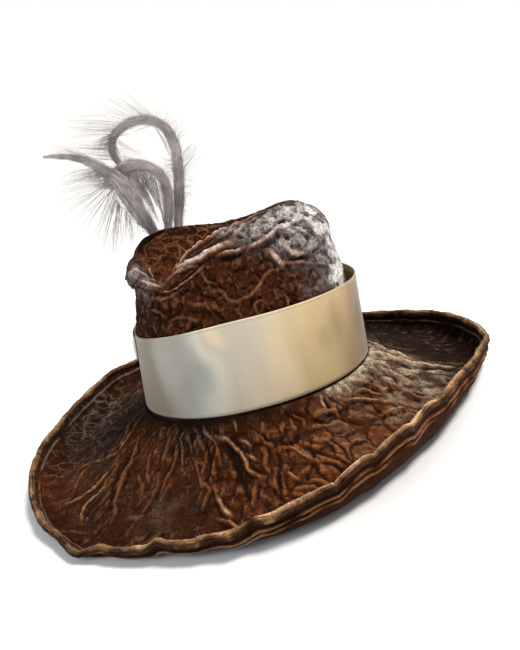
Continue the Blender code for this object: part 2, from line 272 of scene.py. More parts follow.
def tracedRise(points, folds, facing):
    seen = points[facing]
    spots, depth = photoSpots(seen)
    flat = points
    for size, reach in tracing["wanders"]:
        flat = wandered(flat, size, reach)
    flat = flat.reshape(-1, 3)
    rise, pale, gap = np.zeros((3, len(flat)))
    for height, width, tint, picked in folds:
        path = seenPath(picked, seen, spots, depth)
        room = np.abs(path - path.mean(0)).max(0) + tracing["margin"]
        near = np.where((np.abs(flat - path.mean(0)) < room).all(1))[0]
        away, along = awayFromPath(flat[near], path)
        along = tracing["endShare"] + (1 - 2 * tracing["endShare"]) * along
        taper = np.sin(math.pi * along) ** tracing["endPower"]
        shape = taper * np.exp(-((away / width) ** np.interp(width, tracing["widths"], tracing["powers"])))
        rise[near] += height * shape
        if height > 0:
            valley = taper * bump(away - tracing["valleyPlace"] * width, tracing["valleySpread"] * width)
            rise[near] -= height * tracing["valleyDepth"] * valley
            # The pale line along a ridge is a painted highlight; its valley gets painted shade
            crisp = taper * bump(away, max(tracing["highlightSpread"] * width, 1.0))
            pale[near] = np.maximum(pale[near], tint * crisp)
            shape = min(tracing["valleyShade"] * height, tracing["valleyDark"]) * valley
        gap[near] = np.maximum(gap[near], shape)
    uneven = 1 + noiseSum(points, tracing["uneven"])
    return [values.reshape(uneven.shape) * uneven for values in (rise, pale, gap)]


def blurred(values, reach):
    rows = np.pad(values, ((reach, reach), (0, 0)), mode="edge")
    total = sum(rows[step:step + len(values)] for step in range(2 * reach + 1))
    return sum(np.roll(total, step, 1) for step in range(-reach, reach + 1)) / (2 * reach + 1) ** 2


def creaseMarks(rise):
    # Raised relief gets a painted highlight, sunk relief painted shade
    relief = rise - blurred(blurred(rise, creaseReach), creaseReach)
    return ease(relief, *creaseRange), ease(-relief, *creaseRange)


def lineRise(away, lines):
    return sum(height * bump(away - place, spread) for place, height, spread in lines)


def patchStrength(points, patches, upright=1.0):
    total = np.zeros(points.shape[:-1])
    for x, y, z, reach, strength in patches:
        away = np.linalg.norm((points - (x, y, z)) * (1.0, 1.0, upright), axis=-1)
        total += strength * bump(away, reach)
    return total


# Meshes
def gridNormals(points):
    around = np.roll(points, -1, 1) - np.roll(points, 1, 1)
    return unit(np.cross(around, np.gradient(points, axis=0)))


def gridFaces(rows, columns, first=0, loop=False):
    index = np.arange(rows * columns).reshape(rows, columns) + first
    here, above = (index, np.roll(index, -1, 0)) if loop else (index[:-1], index[1:])
    return np.stack((here, np.roll(here, -1, 1), np.roll(above, -1, 1), above), -1).reshape(-1, 4).tolist()


def seamFaces(fineFirst, fineCount, coarseFirst, coarseCount):
    share = fineCount // coarseCount
    faces = []
    for step in range(coarseCount):
        fine = [fineFirst + (step * share + part) % fineCount for part in range(share + 1)]
        faces.append(fine + [coarseFirst + (step + 1) % coarseCount, coarseFirst + step])
    return faces


def makeMesh(name, parts, faces, surface, marks=None):
    points = np.concatenate([part.reshape(-1, 3) for part in parts])
    mesh = bpy.data.meshes.new(name)
    mesh.from_pydata(((points - (*hatCentre, 0.0)) * millimetre).tolist(), [], faces)
    for key, values in (marks or {}).items():
        field = mesh.attributes.new(key, "FLOAT", "POINT")
        field.data.foreach_set("value", np.ravel(values).astype(np.float32))
    work = bmesh.new()
    work.from_mesh(mesh)
    bmesh.ops.recalc_face_normals(work, faces=work.faces)
    work.to_mesh(mesh)
    work.free()
    mesh.shade_smooth()
    mesh.materials.append(surface)
    made = bpy.data.objects.new(name, mesh)
    bpy.context.scene.collection.objects.link(made)
    return made


def withUnder(marks, under, count):
    return {key: np.append(values, under.get(key, np.zeros(count))) for key, values in marks.items()}


def settle(piece, slot, *nodes):
    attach(piece, "root")
    if nodes:
        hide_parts(*nodes)
    print(piece.name + ":", len(piece.data.polygons), "faces")


# Node helpers
def addNode(tree, kind, inputs=None, **settings):
    made = tree.nodes.new(kind)
    for key, value in settings.items():
        setattr(made, key, value)
    for key, value in (inputs or {}).items():
        if isinstance(value, bpy.types.NodeSocket):
            tree.links.new(value, made.inputs[key])
        else:
            made.inputs[key].default_value = value
    return made


def colour(red, green, blue):
    return (red, green, blue, 1.0)


def mixColours(share, first, second):
    inputs = {0: share, 6: first, 7: second}
    return addNode(share.id_data, "ShaderNodeMix", inputs, data_type="RGBA", clamp_factor=True).outputs[2]


def maths(operation, first, second, clamp=False):
    tree = (first if isinstance(first, bpy.types.NodeSocket) else second).id_data
    inputs = {0: first, 1: second}
    return addNode(tree, "ShaderNodeMath", inputs, operation=operation, use_clamp=clamp).outputs[0]


def times(first, second, clamp=False):
    return maths("MULTIPLY", first, second, clamp)


def larger(first, second, clamp=False):
    return maths("MAXIMUM", first, second, clamp)


def ranged(value, low, high, newLow=0.0, newHigh=1.0):
    inputs = {"Value": value, "From Min": low, "From Max": high, "To Min": newLow, "To Max": newHigh}
    made = addNode(value.id_data, "ShaderNodeMapRange", inputs, interpolation_type="SMOOTHSTEP")
    return made.outputs["Result"]


def objectPlace(tree):
    return addNode(tree, "ShaderNodeTexCoord").outputs["Object"]


def vectorMaths(operation, place, vector):
    inputs = {0: place, 1: vector}
    return addNode(place.id_data, "ShaderNodeVectorMath", inputs, operation=operation).outputs[0]


def noiseNode(place, scale, detail, roughness=0.5):
    inputs = {"Vector": place, "Scale": scale, "Detail": detail, "Roughness": roughness}
    return addNode(place.id_data, "ShaderNodeTexNoise", inputs)


def noiseFactor(*settings):
    return noiseNode(*settings).outputs["Fac"]


def edgeDistance(place, scale):
    inputs = {"Vector": place, "Scale": scale}
    made = addNode(place.id_data, "ShaderNodeTexVoronoi", inputs, feature="DISTANCE_TO_EDGE")
    return made.outputs["Distance"]


def mark(tree, name):
    return addNode(tree, "ShaderNodeAttribute", attribute_name=name).outputs["Fac"]


def newMaterial(name, constants):
    made = bpy.data.materials.new(name)
    made.use_nodes = True
    shader = made.node_tree.nodes["Principled BSDF"]
    for key, value in constants.items():
        shader.inputs[key].default_value = value
    return made, made.node_tree, shader


def addTone(shader, tone):
    shader.id_data.links.new(tone, shader.inputs["Base Color"])


def addRelief(shader, height, distance, strength):
    inputs = {"Height": height, "Distance": distance, "Strength": strength}
    raised = addNode(shader.id_data, "ShaderNodeBump", inputs)
    shader.id_data.links.new(raised.outputs["Normal"], shader.inputs["Normal"])


# Crushed nap: painted highlights on crests, painted shade in hollows and creases, painted light and shade
# across the rust, and painted sheen where the pile is crushed
napMarks = ("Crest", "Shadowed", "Sheened", "Lighted", "Web", "Dash")
napScales = ("Mottle Scale", "Crease Scale", "Web Scale")
napColours = ("Deep Shade", "Body", "Ridge Highlight", "Grey Highlight", "Sheen Colour")
napLook = {
    "swayScale": 45.0,
    "sway": 0.016,
    "streakScale": 480.0,
    "pileScale": 1500.0,
    "threadScale": 60.0,
    "fineWeb": 2.1,
    "dashScale": 300.0,
    "dashHeight": 0.3,
    "relief": 0.7,
    "specular": 0.02,
}


def makeNapGroup(look):
    tree = bpy.data.node_groups.new("crushedNap", "ShaderNodeTree")
    for names, kind in ((napMarks + napScales, "NodeSocketFloat"), (napColours, "NodeSocketColor")):
        for name in names:
            tree.interface.new_socket(name, in_out="INPUT", socket_type=kind)
    tree.interface.new_socket("Colour", in_out="OUTPUT", socket_type="NodeSocketColor")
    tree.interface.new_socket("Height", in_out="OUTPUT", socket_type="NodeSocketFloat")
    given = tree.nodes.new("NodeGroupInput").outputs
    result = tree.nodes.new("NodeGroupOutput").inputs
    place = objectPlace(tree)
    sway = noiseNode(place, look["swayScale"], 2.0).outputs["Color"]
    bent = vectorMaths("ADD", place, vectorMaths("MULTIPLY", sway, [look["sway"]] * 3))
    mottle = noiseFactor(bent, given["Mottle Scale"], 4.0, 0.6)
    streak = noiseFactor(bent, look["streakScale"], 3.0, 0.65)
    pile = noiseFactor(place, look["pileScale"], 2.0, 0.7)

    # Creases, which paint shade, and a web of fine creases with its finer half, which paints highlight lines
    crease = ranged(edgeDistance(bent, given["Crease Scale"]), 0.0, 0.13, 1.0, 0.0)
    crease = times(crease, ranged(mottle, 0.42, 0.6))
    web = ranged(edgeDistance(bent, given["Web Scale"]), 0.02, 0.075, 1.0, 0.0)
    web = times(web, ranged(noiseFactor(bent, look["threadScale"], 2.0), 0.42, 0.56))
    fineWeb = edgeDistance(bent, times(given["Web Scale"], look["fineWeb"]))
    fineWeb = times(ranged(fineWeb, 0.02, 0.1, 0.45, 0.0), ranged(mottle, 0.46, 0.6))
    thread = times(larger(web, fineWeb), given["Web"])

    # The pile: the rust with painted light and shade across it, painted shade in hollows and creases, and
    # painted highlights on crests
    lighted = times(given["Lighted"], ranged(mottle, 0.34, 0.64, 0.45, 1.0))
    lighted = times(lighted, ranged(streak, 0.3, 0.7, 0.85, 1.1), clamp=True)
    body = mixColours(lighted, given["Deep Shade"], given["Body"])
    shadow = larger(given["Shadowed"], times(crease, 0.75))
    body = mixColours(times(shadow, 0.92), body, given["Deep Shade"])
    crest = times(given["Crest"], ranged(streak, 0.3, 0.58, 0.65, 1.0))
    crest = larger(crest, thread, clamp=True)
    ridge = mixColours(ranged(given["Lighted"], 0.1, 0.45), given["Grey Highlight"], given["Ridge Highlight"])
    body = mixColours(crest, body, ridge)

    # Painted sheen on the crushed pile, broken by upright dashes
    sheened = times(given["Sheened"], ranged(mottle, 0.34, 0.56, 0.35, 1.0))
    sheened = times(sheened, ranged(streak, 0.3, 0.52, 0.5, 1.1))
    upright = vectorMaths("MULTIPLY", bent, (1.0, 1.0, look["dashHeight"]))
    dash = ranged(noiseFactor(upright, look["dashScale"], 3.0, 0.7), 0.49, 0.6)
    shadow = larger(shadow, times(dash, given["Dash"]))
    lit = maths("SUBTRACT", 1.0, times(shadow, 0.85))
    body = mixColours(times(sheened, lit, clamp=True), body, given["Sheen Colour"])
    body = mixColours(ranged(pile, 0.35, 0.7, 0.0, 0.25), body, given["Deep Shade"])
    tree.links.new(body, result["Colour"])
    height = maths("ADD", times(thread, 0.7), times(pile, 0.25))
    height = maths("SUBTRACT", height, times(crease, 0.9))
    tree.links.new(maths("ADD", height, times(streak, 0.3)), result["Height"])
    return tree


napGroup = makeNapGroup(napLook)


def makeVelvet(name, look):
    made, tree, shader = newMaterial(name, {**look["shader"], "Specular IOR Level": napLook["specular"]})
    inputs = look["nap"] | {key: mark(tree, key.lower()) for key in napMarks}
    nap = addNode(tree, "ShaderNodeGroup", inputs, node_tree=napGroup).outputs
    addTone(shader, nap["Colour"])
    addRelief(shader, nap["Height"], look["relief"], napLook["relief"])
    return made


# The crown. Rows run from, to and how many, cells are size, seed and width, breaks are size, seed and range.
crownLook = {
    "columns": 600,
    "innerColumns": 120,
    "wallRows": ((-4, 60, 10), (63.5, 103, 42)),
    "shoulderRows": (0, 0.98, 56),
    "dentRows": (0, 1, 40),
    "innerRows": ((-4, 103, 12), (0, 0.97, 10), (0, 1, 8)),
    "wallThickness": 2.5,
    "wander": (16.0, 4.0),
    "cells": ((9.0, 3.1, 0.12), (4.8, 7.7, 0.17), (11.25, 9.2, 0.10)),
    "breaks": ((19.0, 5.5, -0.3, 0.3), (12.0, 8.5, -0.25, 0.35)),
    "coarseRise": 0.95,
    "fineRise": 0.3,
    "lean": 0.24,
    "domeRise": 0.9,
    "pitRise": 0.7,
    "softRise": 1.0,
    "frost": (0.15, 0.55),
    "farSide": (62.0, 84.0),
    "farCalm": 0.7,
    "dentCalm": 0.55,
    "lipCalm": 0.72,
    "lipCalmReach": 7.0,
    "bandClearance": 0.25,
    "bandLevels": (10.0, 60.0),
    "wallLevels": (30.0, 62.0),
    # Strengths of the painted highlight on crests, the painted shade in pits, the painted light on the rust
    # and the web lines; the inside of the crown gets painted shade
    "crestHighlight": 0.32,
    "pitShade": 0.65,
    "dashSide": (64.0, 84.0),
    "lighted": 0.36,
    "web": 0.05,
    "inside": {"shadowed": 0.8, "lighted": 0.2},
    "velvet": {
        "shader": {
            "Roughness": 0.85, "Sheen Weight": 0.04, "Sheen Roughness": 0.5,
            "Sheen Tint": colour(1.0, 0.86, 0.74),
        },
        "relief": 0.0010,
        "nap": {
            "Deep Shade": colour(0.0085, 0.0030, 0.0018), "Body": colour(0.080, 0.0215, 0.0062),
            "Ridge Highlight": colour(0.42, 0.18, 0.08), "Grey Highlight": colour(0.25, 0.165, 0.115),
            "Sheen Colour": colour(0.83, 0.80, 0.775),
            "Mottle Scale": 120.0, "Crease Scale": 210.0, "Web Scale": 95.0,
        },
    },
}
wall = table(
    "height left right near far",
    (-4, -101.5, 101.5, -78.5, 78.5),
    (36, -94.5, 97.5, -75.0, 75.8),
    (76, -87.5, 94.5, -71.5, 73.0),
    (93, -83.0, 92.6, -66.0, 69.0),
    (104, -80.5, 91.0, -60.0, 65.0),
)
lip = table(
    "angle x y height swell",
    (0, 62, 12, 138, 3.5),
    (25, 58, 24, 137, 2.0),
    (48, 44, 38, 132, 0.5),
    (70, 20, 47, 128.5, 0.5),
    (92, -4, 52, 128.5, 0.5),
    (115, -28, 54, 133, 1.0),
    (135, -50, 52, 135, 2.5),
    (155, -69, 40, 132, 5.5),
    (175, -75, 18, 125, 6.0),
    (195, -73, -8, 118, 4.5),
    (210, -64, -24, 112, 2.5),
    (221, -54, -31, 108, 0.0),
    (234, -38, -29, 118, 0.0),
    (248, -22, -26, 128, 0.5),
    (268, -2, -22, 134, 1.0),
    (290, 18, -15, 137, 1.0),
    (315, 38, -5, 139, 1.0),
    (340, 54, 4, 139, 2.5),
)
lipPleats = table(
    "start end riseStart riseEnd height",
    (222, 330, 0.62, 0.80, 2.4),
    (228, 318, 0.30, 0.45, 2.2),
)
ovalPower = 2.15
swellTop = 0.7
pleatSpread = 0.12
troughFront, troughBack = np.array([-58.0, 2.0]), np.array([30.0, 14.0])
troughLevel = 98.0
troughHalfWidth = 6.0

# Folds of the crown that the photograph shows: height, width, strength of the painted highlight and places
# picked in it; a negative height is a groove with painted shade.
# The near lip's folds stay in front of the dent.
lipFront = -8.0
lipFolds = (
    (3.4, 2.0, 0.42, "161,279 170,270 177,266 182,262 188,255 197,248 206,241 215,236 223,232 232,228 "
        "239,224 248,219 258,213 268,207"),
    (-3.4, 2.0, 0, "188,260 197,253 206,248 215,242 222,240"),
    (3.7, 3.3, 0.75, "176,268 188,264 200,258 213,250 224,245 232,243"),
    (2.0, 1.7, 0.42, "163,283 172,275 182,270 196,266"),
    (-3.8, 2.3, 0, "166,291 170,288 176,285 182,281 188,278 192,275 198,269"),
    (2.4, 1.5, 0.45, "160,292 166,291 174,288 182,284 188,279 197,273 203,266"),
    (2.8, 2.0, 0.35, "217,255 225,254 235,252 242,248"),
    (-2.0, 1.3, 0, "222,250 230,250 236,249"),
    (-2.2, 1.3, 0, "217,258 224,260 231,259 238,256 244,250 249,250 256,248"),
    (2.6, 1.7, 0.4, "231,239 237,233 241,229 250,222 259,217"),
    (2.7, 1.8, 0.6, "246,250 257,243 266,237 279,230 288,224 295,221"),
)
crownFolds = (
    (1.4, 2.4, 0.9, "283,244 288,250 292,253 298,254 304,252"),
    (1.3, 2.3, 0.8, "269,250 274,256 278,260 283,266"),
    (2.0, 1.3, 0.35, "283,264 289,263 304,263 318,264 332,266"),
    (1.8, 1.6, 0.2, "230,304 240,300 249,296 255,291 260,286 266,275 279,268"),
    (-2.0, 1.2, 0, "286,233 289,238 292,243"),
    (-2.0, 1.4, 0, "272,224 278,225 283,226"),
    (-1.8, 1.6, 0, "292,223 298,222 304,220"),
    (-1.8, 1.4, 0, "300,232 305,237 309,242"),
    (-1.8, 1.2, 0, "289,262 297,260 303,258 309,254"),
    (-1.8, 1.2, 0, "258,251 264,247 272,243 278,240"),
    (2.4, 1.6, 0.5, "133,270 140,272 146,276 151,279 158,282"),
    (2.0, 1.4, 0.6, "142,281 150,285 158,287"),
    (2.0, 1.2, 0.35, "144,266 148,270 151,275 153,279"),
    (1.7, 1.1, 0.12, "145,247 146,256 144,266"),
    (1.7, 1.1, 0.12, "147,249 155,248 160,250 164,254"),
    (1.7, 1.1, 0.15, "160,250 167,247 176,246"),
    (1.8, 1.2, 0.15, "158,240 170,238 182,238 192,236"),
    (1.8, 1.2, 0.12, "170,231 180,229 190,230"),
    (1.6, 1.1, 0.3, "198,229 208,228 216,227 225,226"),
    (1.8, 1.2, 0.1, "146,270 152,268 158,272 163,274"),
    (1.6, 1.1, 0.1, "136,258 141,262 146,266"),
    (-1.8, 1.2, 0, "148,254 151,262 152,268"),
    (-1.6, 1.2, 0, "160,262 166,258 170,252"),
    (-2.4, 1.6, 0, "135,287 142,290 150,293 162,295"),
    (1.8, 1.3, 0.2, "200,266 206,281 216,284"),
    (1.8, 1.3, 0.2, "150,298 160,299 170,296 178,293"),
    (1.7, 1.2, 0.15, "168,322 180,318 190,318 200,322"),
    (1.7, 1.2, 0.15, "186,301 196,306 205,303 213,312"),
    (1.7, 1.2, 0.15, "210,290 222,293 228,300 240,303"),
    (1.6, 1.1, 0.3, "283,290 287,300 290,312"),
    (1.6, 1.1, 0.2, "262,300 255,305 258,314"),
    (1.6, 1.2, 0.1, "147,312 158,312 166,318"),
    (1.6, 1.2, 0.15, "190,318 188,330"),
    (-1.6, 1.2, 0, "205,296 214,300 222,306"),
    (-1.6, 1.2, 0, "240,290 250,284 257,278"),
)

# Painted sheen, painted shadow, painted light and shade on the rust, and the web of highlight lines: x y z
# reach strength, from the floor
crownSheen = (
    (88, -26, 156, 20, 0.75),
    (70, -32, 170, 18, 0.65),
    (94, -20, 136, 17, 1.05),
    (88, -32, 123, 13, 1.1),
    (85, -38, 130, 12, 0.6),
    (76, -14, 178, 14, 0.6),
    (48, -30, 181, 17, 0.6),
    (46, -48, 168, 12, 0.4),
    (24, -38, 181, 12, 0.5),
    (9, -30, 182, 9, 0.45),
    (-72, -6, 162, 11, 0.6),
    (-62, -24, 154, 9, 0.75),
    (86, 30, 160, 34, 0.6),
    (62, -12, 183, 14, 0.6),
    (76, -6, 176, 12, 0.3),
    (92, -26, 122, 12, 0.7),
    (62, -62, 128, 14, 0.15),
)
crownShadows = (
    (51, 3, 187, 12, 1.0),
    (64, 4, 186, 9, 0.9),
    (-8, 46, 170, 24, 0.7),
    (-12, -6, 160, 20, 0.6),
    (-62, -44, 140, 10, 0.5),
    (-80, -30, 130, 14, 0.4),
)
crownLighting = (
    (-25, -66, 136, 42, 0.5),
    (20, -64, 140, 34, 0.5),
    (52, -59, 132, 20, 0.4),
    (-45, 12, 150, 38, 0.85),
    (-10, 45, 170, 40, 0.5),
    (-60, 30, 165, 20, 0.3),
    (-96, -10, 140, 26, -0.35),
    (78, -45, 138, 22, -0.15),
)
crownWebs = ((-52, 16, 150, 34, 0.6), (0, 46, 172, 40, 0.4), (-78, -10, 150, 18, -0.4))

# The band's shape, which the crown's cloth stays behind
bandGap = 0.45
band = table(
    "angle lower upper stand",
    (0, 0.4, 69, 9.5),
    (40, 0.4, 70, 8.0),
    (90, 0.4, 71, 7.0),
    (130, 0.4, 70, 6.5),
    (170, 1.4, 67, 2.6),
    (190, 2.4, 67, 1.6),
    (220, 2.6, 72, 1.4),
    (250, 2.0, 76, 1.6),
    (285, 1.6, 76, 2.4),
    (320, 1.2, 74, 5.0),
    (345, 0.6, 71, 8.5),
)


def wallPoint(degrees, height):
    left, right, near, far = [np.interp(height, wall["height"], wall[side]) for side in list(wall)[1:]]
    across, deep = circle(degrees)
    reach = abs(across * 2 / (right - left)) ** ovalPower + abs(deep * 2 / (far - near)) ** ovalPower
    reach = reach ** (-1 / ovalPower)
    return stacked((right + left) / 2 + reach * across, (far + near) / 2 + reach * deep, height + 0 * reach)


def outward(degrees, height):
    ahead = wallPoint(degrees + 1, height) - wallPoint(degrees - 1, height)
    return unit(stacked(ahead[..., 1], -ahead[..., 0], 0 * ahead[..., 0]))


def bandStand(degrees, share):
    return bandGap + share * (loopValues(band, "stand", degrees) - bandGap)


def offWall(degrees, height, stand):
    return wallPoint(degrees, height) + outward(degrees, height) * stand[:, None] + (0.0, 0.0, bandLevel)


def shoulderRing(degrees, share):
    wallTop = wall["height"][-1]
    top = wallPoint(degrees, wallTop)
    crest = stacked(*loopColumns(lip, "x y height", degrees))
    turn = share * math.pi / 2
    ring = crest + (top - crest) * math.cos(turn)
    ring[:, 2] = top[:, 2] + (crest[:, 2] - top[:, 2]) * math.sin(turn)
    swell = loopValues(lip, "swell", degrees) * math.sin(math.pi * min(1.0, share / swellTop))
    ring += outward(degrees, wallTop) * swell[:, None]
    for start, end, riseStart, riseEnd, height in zip(*lipPleats.values()):
        along = np.clip((degrees - start) / (end - start), 0, 1)
        rise = riseStart + (riseEnd - riseStart) * along
        ring[:, 2] += height * np.sin(math.pi * along) * bump(share - rise, pleatSpread)
    return ring


def dentRing(degrees, share):
    crest = shoulderRing(degrees, 1.0)
    across, deep = circle(degrees)
    middle = troughBack + (1 - across[:, None]) / 2 * (troughFront - troughBack)
    middle[:, 1] += troughHalfWidth * deep
    flat = crest[:, :2] + (middle - crest[:, :2]) * share
    height = crest[:, 2] + (troughLevel - crest[:, 2]) * math.sin(share * math.pi / 2)
    return np.column_stack((flat, height))


def crownRings(columns, wallHeights, shoulderShares, dentShares):
    degrees = evenAngles(columns)
    rings = [wallPoint(degrees, height) for height in wallHeights]
    rings += [shoulderRing(degrees, share) for share in shoulderShares]
    rings += [dentRing(degrees, share) for share in dentShares]
    return np.array(rings) + (0.0, 0.0, bandLevel)


def troughFaces(first, columns):
    last, half = first + columns, columns // 2
    faces = [(first + step, first + step + 1, last - step - 1, last - step) for step in range(1, half - 1)]
    return faces + [(first, first + 1, last - 1), (first + half - 1, first + half, first + half + 1)]


def makeCrown(look):
    columns, innerColumns = look["columns"], look["innerColumns"]
    degrees = evenAngles(columns)
    heights = np.concatenate([np.linspace(*rows) for rows in look["wallRows"]])
    shoulders, dents = np.linspace(*look["shoulderRows"]), np.linspace(*look["dentRows"])
    outer = crownRings(columns, heights, shoulders, dents)
    normals = gridNormals(outer)
    row = np.arange(len(outer))[:, None]
    lipRow = len(heights) + len(shoulders)

    # Crumples, lower in the dent and on the far side, frosted where the pile has painted sheen
    coarse, fine, slabs, broken, fineBroken = crumpled(outer, look)
    ridges, leans = coarse[:2]
    fineRidges, fineLeans, fineDomes, fineTones = fine
    pits, slabLeans, slabDomes, slabTones = slabs
    pale = patchStrength(outer, crownSheen)
    frost = ease(pale, *look["frost"])
    pits *= (1 - 0.85 * frost) * (1 - broken)
    rise = look["coarseRise"] * ridges * broken + look["lean"] * (leans + fineLeans + 0.5 * slabLeans)
    rise += frost * (1.1 * ridges + fineRidges) * (1 + 0.6 * noiseAt(outer, 7.0, 6.1))
    rise += look["fineRise"] * fineRidges * fineBroken - look["pitRise"] * pits
    domes = (1 - 0.8 * broken) * slabDomes + 0.35 * fineDomes
    rise += look["domeRise"] * (1 - 0.8 * frost) * domes
    far = ease(outer[..., 0], *look["farSide"])
    rise *= (1 - look["farCalm"] * far) * (1 - look["dentCalm"] * (row > lipRow))
    fromLip = np.linalg.norm(outer - outer[lipRow], axis=-1)
    rise *= 1 - look["lipCalm"] * bump(fromLip, look["lipCalmReach"])

    # Traced folds, then room for the band
    traced = tracedRise(outer, crownFolds, outer[..., 2] > 0)
    lipTraced = tracedRise(outer, lipFolds, outer[..., 1] < lipFront)
    folds, foldHighlight, gaps = traced[0] + lipTraced[0], *np.maximum(traced[1:], lipTraced[1:])
    rise = rise * (1 - 0.7 * ease(np.abs(folds), 0.8, 2.4)) + folds
    rise += look["softRise"] * noiseAt(outer, 30.0, 2.2)
    level = outer[..., 2] - bandLevel
    upper = loopValues(band, "upper", degrees)
    room = bandStand(degrees, np.clip(level / upper, 0, 1)) - look["bandClearance"]
    room *= ease(level, *look["bandLevels"])
    rise = np.where(level < upper + 1, np.minimum(rise, room), rise)
    rise = np.where(row < len(heights), rise * ease(level, *look["wallLevels"]), rise)
    rise = np.clip(rise, *riseLimits)

    crest, shadowed = creaseMarks(rise)
    # Crests and traced folds get a painted highlight
    crest = np.clip(np.maximum(look["crestHighlight"] * crest, foldCrest * foldHighlight), 0, 1)
    # Sunk relief, pits, the gaps of traced folds and the crown shadows get painted shade
    shadowed = np.maximum(creaseShade * shadowed, look["pitShade"] * pits) * (1 - 0.6 * far)
    shadowed = np.maximum(shadowed, gapShade * gaps) + patchStrength(outer, crownShadows)
    blotches = patchy(wandered(outer, 9.0, 3.0) * (0.8, 1.0, 1.3), 9.0, 4.4, -0.5, 0.35)
    # Painted sheen on the pale patches, in blotches, on crests and along traced folds
    sheened = pale * (0.2 + 0.75 * blotches + 0.4 * slabTones + 0.35 * crest)
    # Painted light and shade on the rust pile, varied per crushed cell
    lighted = look["lighted"] + patchStrength(outer, crownLighting)
    marks = {
        "crest": crest,
        "shadowed": np.clip(shadowed, 0, 1),
        "sheened": np.maximum(sheened, 2.0 * foldHighlight - 0.3),
        "lighted": lighted * (1 + 0.55 * slabTones + 0.45 * fineTones),
        "web": look["web"] + patchStrength(outer, crownWebs),
        "dash": ease(outer[..., 0], *look["dashSide"]),
    }
    outer += normals * rise[..., None]
    inner = crownRings(innerColumns, *[np.linspace(*rows) for rows in look["innerRows"]])
    inner -= gridNormals(inner) * look["wallThickness"]
    count, innerCount = outer[..., 0].size, inner[..., 0].size
    faces = gridFaces(len(outer), columns) + troughFaces(count - columns, columns)
    faces += gridFaces(len(inner), innerColumns, count)
    faces += troughFaces(count + innerCount - innerColumns, innerColumns)
    faces += seamFaces(0, columns, count, innerColumns)
    inside = {key: np.full(innerCount, value) for key, value in look["inside"].items()}
    marks = withUnder(marks, inside, innerCount)
    return makeMesh("crown_cloth", (outer, inner), faces, makeVelvet("crownVelvet", look["velvet"]), marks)


settle(makeCrown(crownLook), "crown_velvet", "crown")


# The brim
brimLook = {
    "columns": 960,
    "underColumns": 320,
    "rows": ((0, 0.985, 66), (0, 1, 18)),
    "underRows": ((0, 0.97, 10), (0, 1, 34)),
    "thickness": 3.0,
    "wander": (17.0, 4.5),
    "cells": ((11.0, 3.1, 0.12), (5.6, 7.7, 0.16), (17.0, 9.2, 0.09)),
    "breaks": ((21.0, 5.5, -0.3, 0.3), (13.0, 8.5, -0.2, 0.35)),
    "radialTurn": 18.0,
    "radialLength": 34.0,
    "radialWander": 0.32,
    "radialRise": 1.5,
    "radialLean": 4.0,
    "coarseRise": 1.2,
    "fineRise": 0.4,
    "lean": 0.22,
    "slabLean": 0.25,
    "softRise": 1.4,
    "rimReach": (3.0, 16.0),
    "rimFoldReach": (5.0, 12.0),
    "seamReach": (0.5, 9.0),
    # Strengths of the painted highlight on crests, the painted light on the rust, the web lines and the sheen
    # breaks; then where the painted shade beside the band falls, and where the underside gets painted light
    "crestHighlight": 0.38,
    "lighted": 0.29,
    "web": 0.05,
    "dash": 0.3,
    "shade": (228.0, 55.0),
    "shadeReach": (1.0, 7.0),
    "seamShade": (0.4, 1.6),
    "underLit": (312.0, 42.0),
    "velvet": {
        "shader": {
            "Roughness": 0.85, "Sheen Weight": 0.03, "Sheen Roughness": 0.5,
            "Sheen Tint": colour(1.0, 0.82, 0.66),
        },
        "relief": 0.0010,
        "nap": {
            "Deep Shade": colour(0.0080, 0.0026, 0.0014), "Body": colour(0.098, 0.0255, 0.0068),
            "Ridge Highlight": colour(0.34, 0.13, 0.044), "Grey Highlight": colour(0.22, 0.14, 0.09),
            "Sheen Colour": colour(0.60, 0.47, 0.335),
            "Mottle Scale": 105.0, "Crease Scale": 200.0, "Web Scale": 78.0,
        },
    },
}
rim = table(
    "angle radius height lift",
    (0, 210, 23, 1.0),
    (20, 211, 21.5, 2.6),
    (40, 203, 15.5, 1.2),
    (60, 199, 12, 0.0),
    (90, 198, 12, 0.0),
    (115, 207, 18, 2.2),
    (135, 216, 25.5, 3.0),
    (150, 213, 22.5, 0.8),
    (165, 211.5, 20.5, 0.0),
    (180, 213, 21.5, 0.6),
    (195, 215.5, 16, 1.4),
    (210, 215, 10.5, 0.0),
    (222, 212, 9, 0.0),
    (233, 202, 11.5, 0.4),
    (250, 193.5, 17.5, 1.4),
    (262, 190.5, 22, 0.8),
    (275, 186, 28, 0.0),
    (290, 180, 35, 0.0),
    (305, 175, 38, 0.0),
    (320, 177, 38, 0.4),
    (335, 183.5, 35, 1.0),
    (350, 198, 29, 1.4),
)
scallops = table(
    "start end rise",
    (199, 212, 1.6),
    (212, 223, 1.8),
    (223, 238, 2.2),
    (238, 250, 2.0),
    (250, 262, 1.8),
    (262, 281, 2.5),
    (281, 292, 4.0),
    (292, 305, 3.0),
    (305, 319, 3.5),
    (319, 338, 4.0),
    (338, 357, 3.0),
)
rimKinks = table(
    "angle spread out up",
    (214, 2.5, -1.2, 0.4),
    (222, 2.8, 2.8, -1.5),
    (228, 1.6, -1.3, 1.2),
    (234, 3.0, 0.8, -0.8),
    (241.5, 1.5, -1.4, 2.4),
    (248, 2.6, 1.0, -1.3),
    (257, 2.6, 1.2, -1.6),
    (262.5, 1.8, -1.2, 2.4),
)
